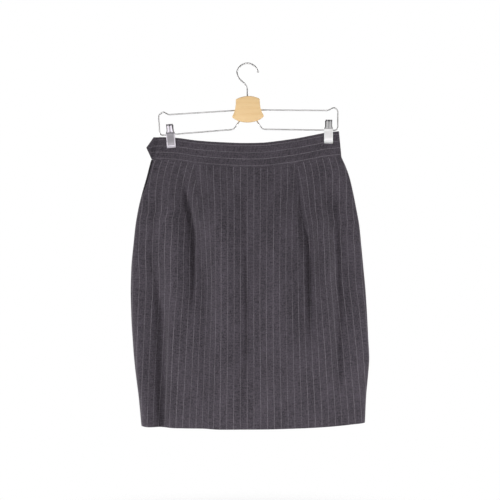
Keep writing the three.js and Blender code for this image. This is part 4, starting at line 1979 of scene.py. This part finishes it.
@dataclass(frozen=True)
class PlatePress:
    """What the press leaves on a clip's plate. Places across run from 0 in the middle to 1.

    Attributes:
        handle: Heights where the handle's relief begins and is full.
        jaw: Heights where the jaw's relief begins and is full.
        groove_half: Half width of the groove down the handle's middle.
        flanks: Places where the handle's sunk flanks begin and are full.
        sunk: Depth of the groove and of the flanks.
        border: Places where the jaw's border begins and is full.
        low_border: Heights where the border along the jaw's lower edge begins and is full.
        raised: Height of the border.
        pivot: Height of the dip over the sleeve.
        pivot_half: Half width of that dip.
        lip: Heights where the handle's lip begins and is full.
        dip: Depth of the dip and of the lip.
    """

    handle: tuple[float, float] = (2.5, 4.5)
    jaw: tuple[float, float] = (1.5, -0.5)
    groove_half: float = 0.17
    flanks: tuple[float, float] = (0.66, 0.78)
    sunk: float = 0.6
    border: tuple[float, float] = (0.74, 0.86)
    low_border: tuple[float, float] = (-21, -22.4)
    raised: float = 0.3
    pivot: float = 2.6
    pivot_half: float = 0.7
    lip: tuple[float, float] = (15.8, 17)
    dip: float = 0.5

    def relief(self, t: Array, z: Array) -> Array:
        """How far the pressed ribs and borders stand out from the plate.

        Args:
            t: Places across, from -1 to 1.
            z: Heights above the rail.

        Returns:
            The relief in millimetres.
        """
        middle = np.exp(-((t / self.groove_half) ** 2))
        flanks = smooth_step(np.abs(t), *self.flanks)
        handle = smooth_step(z, *self.handle) * self.sunk * (middle + flanks)
        border = np.maximum(smooth_step(np.abs(t), *self.border), smooth_step(z, *self.low_border))
        jaw = smooth_step(z, *self.jaw) * self.raised * border
        pivot = np.exp(-(((z - self.pivot) / self.pivot_half) ** 2))
        return jaw - handle - self.dip * (pivot + smooth_step(z, *self.lip))


@dataclass
class PinchClip:
    """A pinch clip on the lower rail: two pressed plates, a sleeve and a spring.

    Attributes:
        side: Left or right, as its nodes are named.
        x: Where it sits on the rail.
        rail: The rail's outer and inner ends.
        steel: The finish of its plates.
        wire: The finish of its spring.
        plate: Thickness of a plate.
        plate_round: Rounding of a plate's edges.
        press: What the press leaves on a plate.
        crown: How far a plate's middle stands out from its sides.
        jaw_half: Half width of the jaws.
        handle_half: Half width of the handles.
        rows: Rows of a plate's mesh.
        columns: Columns of a plate's mesh.
        sleeve_radius: Radius of the sleeve.
        sleeve_length: Length of the sleeve.
        sleeve_lip: Distance of its outer rings from its ends.
        sleeve_sides: Sides of its section.
        handle_painted_shade: How much painted shade darkens the handles, from 0 to 1.
        spring_turns: Turns of the spring.
        spring_steps: Steps of its line in a turn.
        spring_off: Distance of its wire's middle from the sleeve.
        spring_half: Half length of the spring.
        spring_wire: Radius of the spring's wire.
        profile: The plate's side view: out, height, share of the jaw's width, crown.
    """

    side: str
    x: float
    rail: tuple[tuple[float, float], ...]
    steel: bpy.types.Material
    wire: bpy.types.Material
    plate: float = 1.1
    plate_round: float = 0.22
    press: PlatePress = PlatePress()
    crown: float = 1.1
    jaw_half: float = 8.7
    handle_half: float = 6.6
    rows: int = 90
    columns: int = 44
    sleeve_radius: float = 2.6
    sleeve_length: float = 15
    sleeve_lip: float = 0.3
    sleeve_sides: int = 24
    handle_painted_shade: float = 0
    spring_turns: int = 7
    spring_steps: int = 24
    spring_off: float = 0.48
    spring_half: float = 4.6
    spring_wire: float = 0.42
    profile: tuple[tuple[float, float, float, float], ...] = (
        (12.4, 19.6, 0, 0.4),
        (10, 14, 0, 0.8),
        (7.4, 7.6, 0.1, 1),
        (5.6, 2.6, 1, 1),
        (5.1, -2, 1, 0.6),
        (5.5, -9, 1, 0.6),
        (5.7, -15, 1, 0.5),
        (5.2, -20.6, 1, 0.2),
        (4.9, -23.6, 1, 0),
        (6.4, -26.2, 1, 0),
    )

    def placed(self, points: Array) -> Array:
        """Turns and moves points from the clip's own axes to the frame's.

        Args:
            points: The points.

        Returns:
            The points in the frame.
        """
        (outer_x, outer_z), (inner_x, inner_z) = self.rail
        slope = (inner_z - outer_z) / (inner_x - outer_x)
        turn = -math.atan(slope)
        x = points[..., 0] * math.cos(turn) + points[..., 2] * math.sin(turn)
        z = -points[..., 0] * math.sin(turn) + points[..., 2] * math.cos(turn)
        rail_z = outer_z + slope * (self.x - outer_x)
        return np.stack([x + self.x, points[..., 1], z + rail_z], -1)

    def build_plate(self, face: Side) -> bpy.types.Object:
        """Builds one plate.

        Args:
            face: The front one or the back one.

        Returns:
            The piece.
        """
        number = np.arange(len(self.profile))
        at = np.linspace(0, len(self.profile) - 1, self.rows + 1)
        out, z, width, crown = (smooth_through(number, column, at) for column in zip(*self.profile))
        half = blend_between(self.handle_half, self.jaw_half, width)
        t = np.linspace(-1, 1, self.columns + 1)
        tall = np.broadcast_to(z[:, None], (len(z), len(t)))
        wide = np.broadcast_to(t, tall.shape)
        pressed = self.press.relief(wide, tall)
        reach = out[:, None] - self.crown * crown[:, None] * wide**2 + pressed
        grid = np.stack([half[:, None] * wide, face.value * reach, tall], -1)
        # Painted shade in the sunk grooves and dips and, as far as the handle's shade is set, over the
        # handle.
        groove = np.clip(-pressed * 2.2 - 0.35, 0, 1)
        groove = np.maximum(groove, self.handle_painted_shade * smooth_step(tall, 2, 4))
        # Painted highlights on the handle and on the raised borders.
        painted_highlight = np.clip(smooth_step(tall, 3.5, 5.5) + np.clip(pressed * 4, 0, 1), 0, 1)
        rims = Rims(level_ends=False, square_axis=0)
        draft = wall_shell(grid, self.plate, face.value, rims, marks={"groove": groove, "painted_highlight": painted_highlight})
        draft.points = self.placed(draft.points)
        name = f"clip_{self.side}_{face.name.lower()}"
        piece = draft.piece(name + "_plate", self.steel)
        round_edges(piece, self.plate_round, segments=2)
        return finish_piece(piece, [name])

    def build(self) -> None:
        """Builds the whole clip."""
        self.build_plate(Side.FRONT)
        self.build_plate(Side.BACK)
        half = self.sleeve_length / 2
        inner = half - self.sleeve_lip
        line = np.array([(0, -half), (0, -inner), (0, inner), (0, half)])
        tube = sweep(line, self.sleeve_radius, self.sleeve_sides)
        tube.points = self.placed(tube.points[:, [2, 1, 0]])
        sleeve = tube.turned_out().piece(f"clip_{self.side}_tube", self.steel)
        finish_piece(sleeve, [f"clip_{self.side}_sleeve"])
        finish_piece(self.spring())

    def spring(self) -> bpy.types.Object:
        """The wound spring round the sleeve, which holds the jaws shut.

        Returns:
            The piece, not yet on its body.
        """
        turn = np.linspace(0, self.spring_turns * 2 * math.pi, self.spring_turns * self.spring_steps + 1)
        x = np.linspace(-self.spring_half, self.spring_half, len(turn))
        radius = self.sleeve_radius + self.spring_off
        line = np.column_stack([x, radius * np.cos(turn), radius * np.sin(turn)])
        carrier = poly_curve("spring_path", self.placed(line))
        carrier.data.bevel_depth = self.spring_wire * MM
        carrier.data.bevel_resolution = 2
        carrier.data.use_fill_caps = True
        piece = taken_as_mesh(carrier, f"clip_{self.side}_spring")
        piece.data.materials.clear()
        piece.data.materials.append(self.wire)
        return piece


@dataclass(frozen=True)
class Lamp:
    """A soft rectangular light. Its lengths are metres.

    Attributes:
        name: Its name.
        place: Where it hangs.
        size: Its width and height.
        power: Its power in watts.
    """

    name: str
    place: tuple[float, float, float]
    size: tuple[float, float]
    power: float

    def hang(self, aim: tuple[float, float, float]) -> None:
        """Hangs the lamp so that it faces a point.

        Args:
            aim: The point.
        """
        data = bpy.data.lights.new(self.name, "AREA")
        data.shape = "RECTANGLE"
        data.size, data.size_y = self.size
        data.energy = self.power
        made = in_scene(self.name, data)
        made.location = self.place
        made.rotation_euler = (Vector(aim) - Vector(self.place)).to_track_quat("-Z", "Y").to_euler()


LAMPS = (
    Lamp("left", (-2.16, -1.15, -0.75), (0.7, 1.3), 35),
    Lamp("right", (2.16, -1.15, -0.75), (0.7, 1.3), 31),
    Lamp("front", (0.0, -2.7, -0.95), (1.2, 1.2), 28),
    Lamp("left_rim", (-2.3, 0.1, -0.6), (0.6, 1.3), 6),
    Lamp("right_rim", (2.3, 0.1, -0.6), (0.6, 1.3), 4),
    Lamp("back", (0.4, 2.4, 0.8), (1.6, 1.2), 12),
)


@dataclass
class Studio:
    """The pale floor, the soft lights and the camera. Its lengths are metres.

    Attributes:
        camera_distance: How far in front of the hanger the camera stands.
        camera_x: Its place across.
        camera_z: Its height.
        lens: Its focal length in millimetres.
        sensor: Width of its sensor in millimetres.
        floor_z: Height of the floor.
        floor_radius: Radius of the floor.
        floor_sides: Sides of its rim.
        floor_tone: How light it is, from 0 to 1.
        floor_fade: Where it starts to fade and where it is gone, as shares of its radius.
        room_light: Light that comes from all round.
        ground_light: Light that is added from below.
        ground_ends: Heights where it begins and is full, as shares of the whole way up.
        band_light: Light that is added from behind the sides.
        band_ends: Where it begins, is full and ends, as shares of the whole way back.
        lit: The point that the lamps face.
    """

    camera_distance: float = 2.5
    camera_x: float = 0.005
    camera_z: float = -0.372
    lens: float = 90
    sensor: float = 36
    floor_z: float = -1.05
    floor_radius: float = 1.1
    floor_sides: int = 96
    floor_tone: float = 0.86
    floor_fade: tuple[float, float] = (0.3, 0.95)
    room_light: float = 0.06
    ground_light: float = 0.06
    ground_ends: tuple[float, float] = (0.9, -0.9)
    band_light: float = 1.5
    band_ends: tuple[float, float, float] = (0.02, 0.3, 0.75)
    lit: tuple[float, float, float] = (0.0, 0.0, -0.42)

    def camera(self) -> None:
        """Sets the camera straight in front."""
        data = bpy.data.cameras.new("camera")
        data.lens = self.lens
        data.sensor_width = self.sensor
        made = in_scene("camera", data)
        made.location = (self.camera_x, -self.camera_distance, self.camera_z)
        made.rotation_euler = (math.pi / 2, 0, 0)
        bpy.context.scene.camera = made

    def floor(self) -> None:
        """Lays a round pale floor that fades out at its rim."""
        count = self.floor_sides
        turn = np.arange(count) * 2 * math.pi / count
        rim = np.column_stack([np.cos(turn), np.sin(turn), np.zeros(count)]) * self.floor_radius
        rim[:, 2] = self.floor_z
        book = FinishBook("pale_floor")
        parts = book.node("ShaderNodeSeparateXYZ", inputs={0: book.object_place})
        x, y = Wave(book, parts.outputs[0]), Wave(book, parts.outputs[1])
        away = (x * x + y * y).math("SQRT")
        start, end = (share * self.floor_radius for share in self.floor_fade)
        tone = (self.floor_tone, self.floor_tone, self.floor_tone, 1.0)
        book.surface({"Base Color": tone, "Roughness": 0.9, "Alpha": 1 - away.step(start, end)})
        draft = MeshDraft(rim / MM, [tuple(range(count))])
        draft.piece("floor", book.material)

    def sky(self) -> None:
        """White all round for the eye, and a softer grey room for the light."""
        world = bpy.data.worlds.new("room")
        world.use_nodes = True
        bpy.context.scene.world = world
        book = Book(world.node_tree)
        world.node_tree.nodes.clear()
        place = book.node("ShaderNodeTexCoord").outputs["Generated"]
        parts = book.node("ShaderNodeSeparateXYZ", inputs={0: place})
        up = Wave(book, parts.outputs[2])
        depth = Wave(book, parts.outputs[1])
        start, full, end = self.band_ends
        behind = depth.step(start, full) * (1 - depth.step(full, end))
        ground = up.step(*self.ground_ends) * self.ground_light
        shade = ground + behind * self.band_light + self.room_light
        white = (1.0, 1.0, 1.0, 1.0)
        seen = book.node("ShaderNodeBackground", inputs={"Color": white, "Strength": 1.0})
        grey = book.node("ShaderNodeBackground", inputs={"Color": white, "Strength": shade})
        ray = book.node("ShaderNodeLightPath").outputs["Is Camera Ray"]
        both = book.node("ShaderNodeMixShader", inputs={0: ray, 1: grey.outputs[0], 2: seen.outputs[0]})
        book.node("ShaderNodeOutputWorld", inputs={"Surface": both.outputs[0]})

    def build(self) -> None:
        """Sets up the whole studio."""
        self.camera()
        self.floor()
        self.sky()
        for lamp in LAMPS:
            lamp.hang(self.lit)
        bpy.context.scene.view_settings.view_transform = "Standard"
        bpy.context.scene.view_settings.look = "None"


def corners(box: tuple[Vector, Vector]) -> list[list[float]]:
    """A box's two corners as plain lists."""
    return [list(map(float, corner)) for corner in box]


def main() -> None:
    """Builds every piece in order."""
    logging.basicConfig(level=logging.INFO, format="%(name)s: %(message)s")
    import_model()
    finishes = Finishes()
    Studio().build()

    front_band = Waistband(FRONT_SHEET, Side.FRONT)
    back_band = BackWaistband(BACK_SHEET, Side.BACK)
    clips_front = ["clip_left_front", "clip_right_front"]
    clips_back = ["clip_left_back", "clip_right_back"]
    front_seam = front_band.seam_stitches("front_seam_stitches", finishes)
    back_seam = back_band.seam_stitches("back_seam_stitches", finishes)
    band = front_band.build("front_waistband", "waistband_front", finishes, clips_front, front_seam)
    back = back_band.build("back_waistband", "waistband_back", finishes, clips_back, back_seam)
    front_panel = SkirtPanel(FRONT_SHEET, Side.FRONT)
    front_hem = front_panel.hem_stitches("front_hem_stitches", finishes)
    front_panel.build("front_skirt", "front_panel", finishes, band.name, front_hem)
    back_panel = SkirtPanel(BACK_SHEET, Side.BACK, rows=150)
    back_hem = back_panel.hem_stitches("back_hem_stitches", finishes)
    back_panel.build("back_skirt", "back_panel", finishes, back.name, back_hem)
    SideZip().build(finishes)

    hanger = Hanger()
    hanger.hook(finishes)
    hanger.block(finishes)
    hanger.loop("left_wire_loop", "frame_left", hanger.left_loop, finishes)
    hanger.loop("right_wire_loop", "frame_right", hanger.right_loop, finishes)
    left_rail = hanger.lower_rail(hanger.left_loop)
    right_rail = hanger.lower_rail(hanger.right_loop)
    PinchClip("left", -154, left_rail, finishes.left_steel, finishes.wire).build()
    # Painted shade darkens this clip's handles.
    PinchClip("right", 162, right_rail, finishes.right_steel, finishes.wire, handle_painted_shade=0.54).build()


if __name__ == "__main__":
    main()
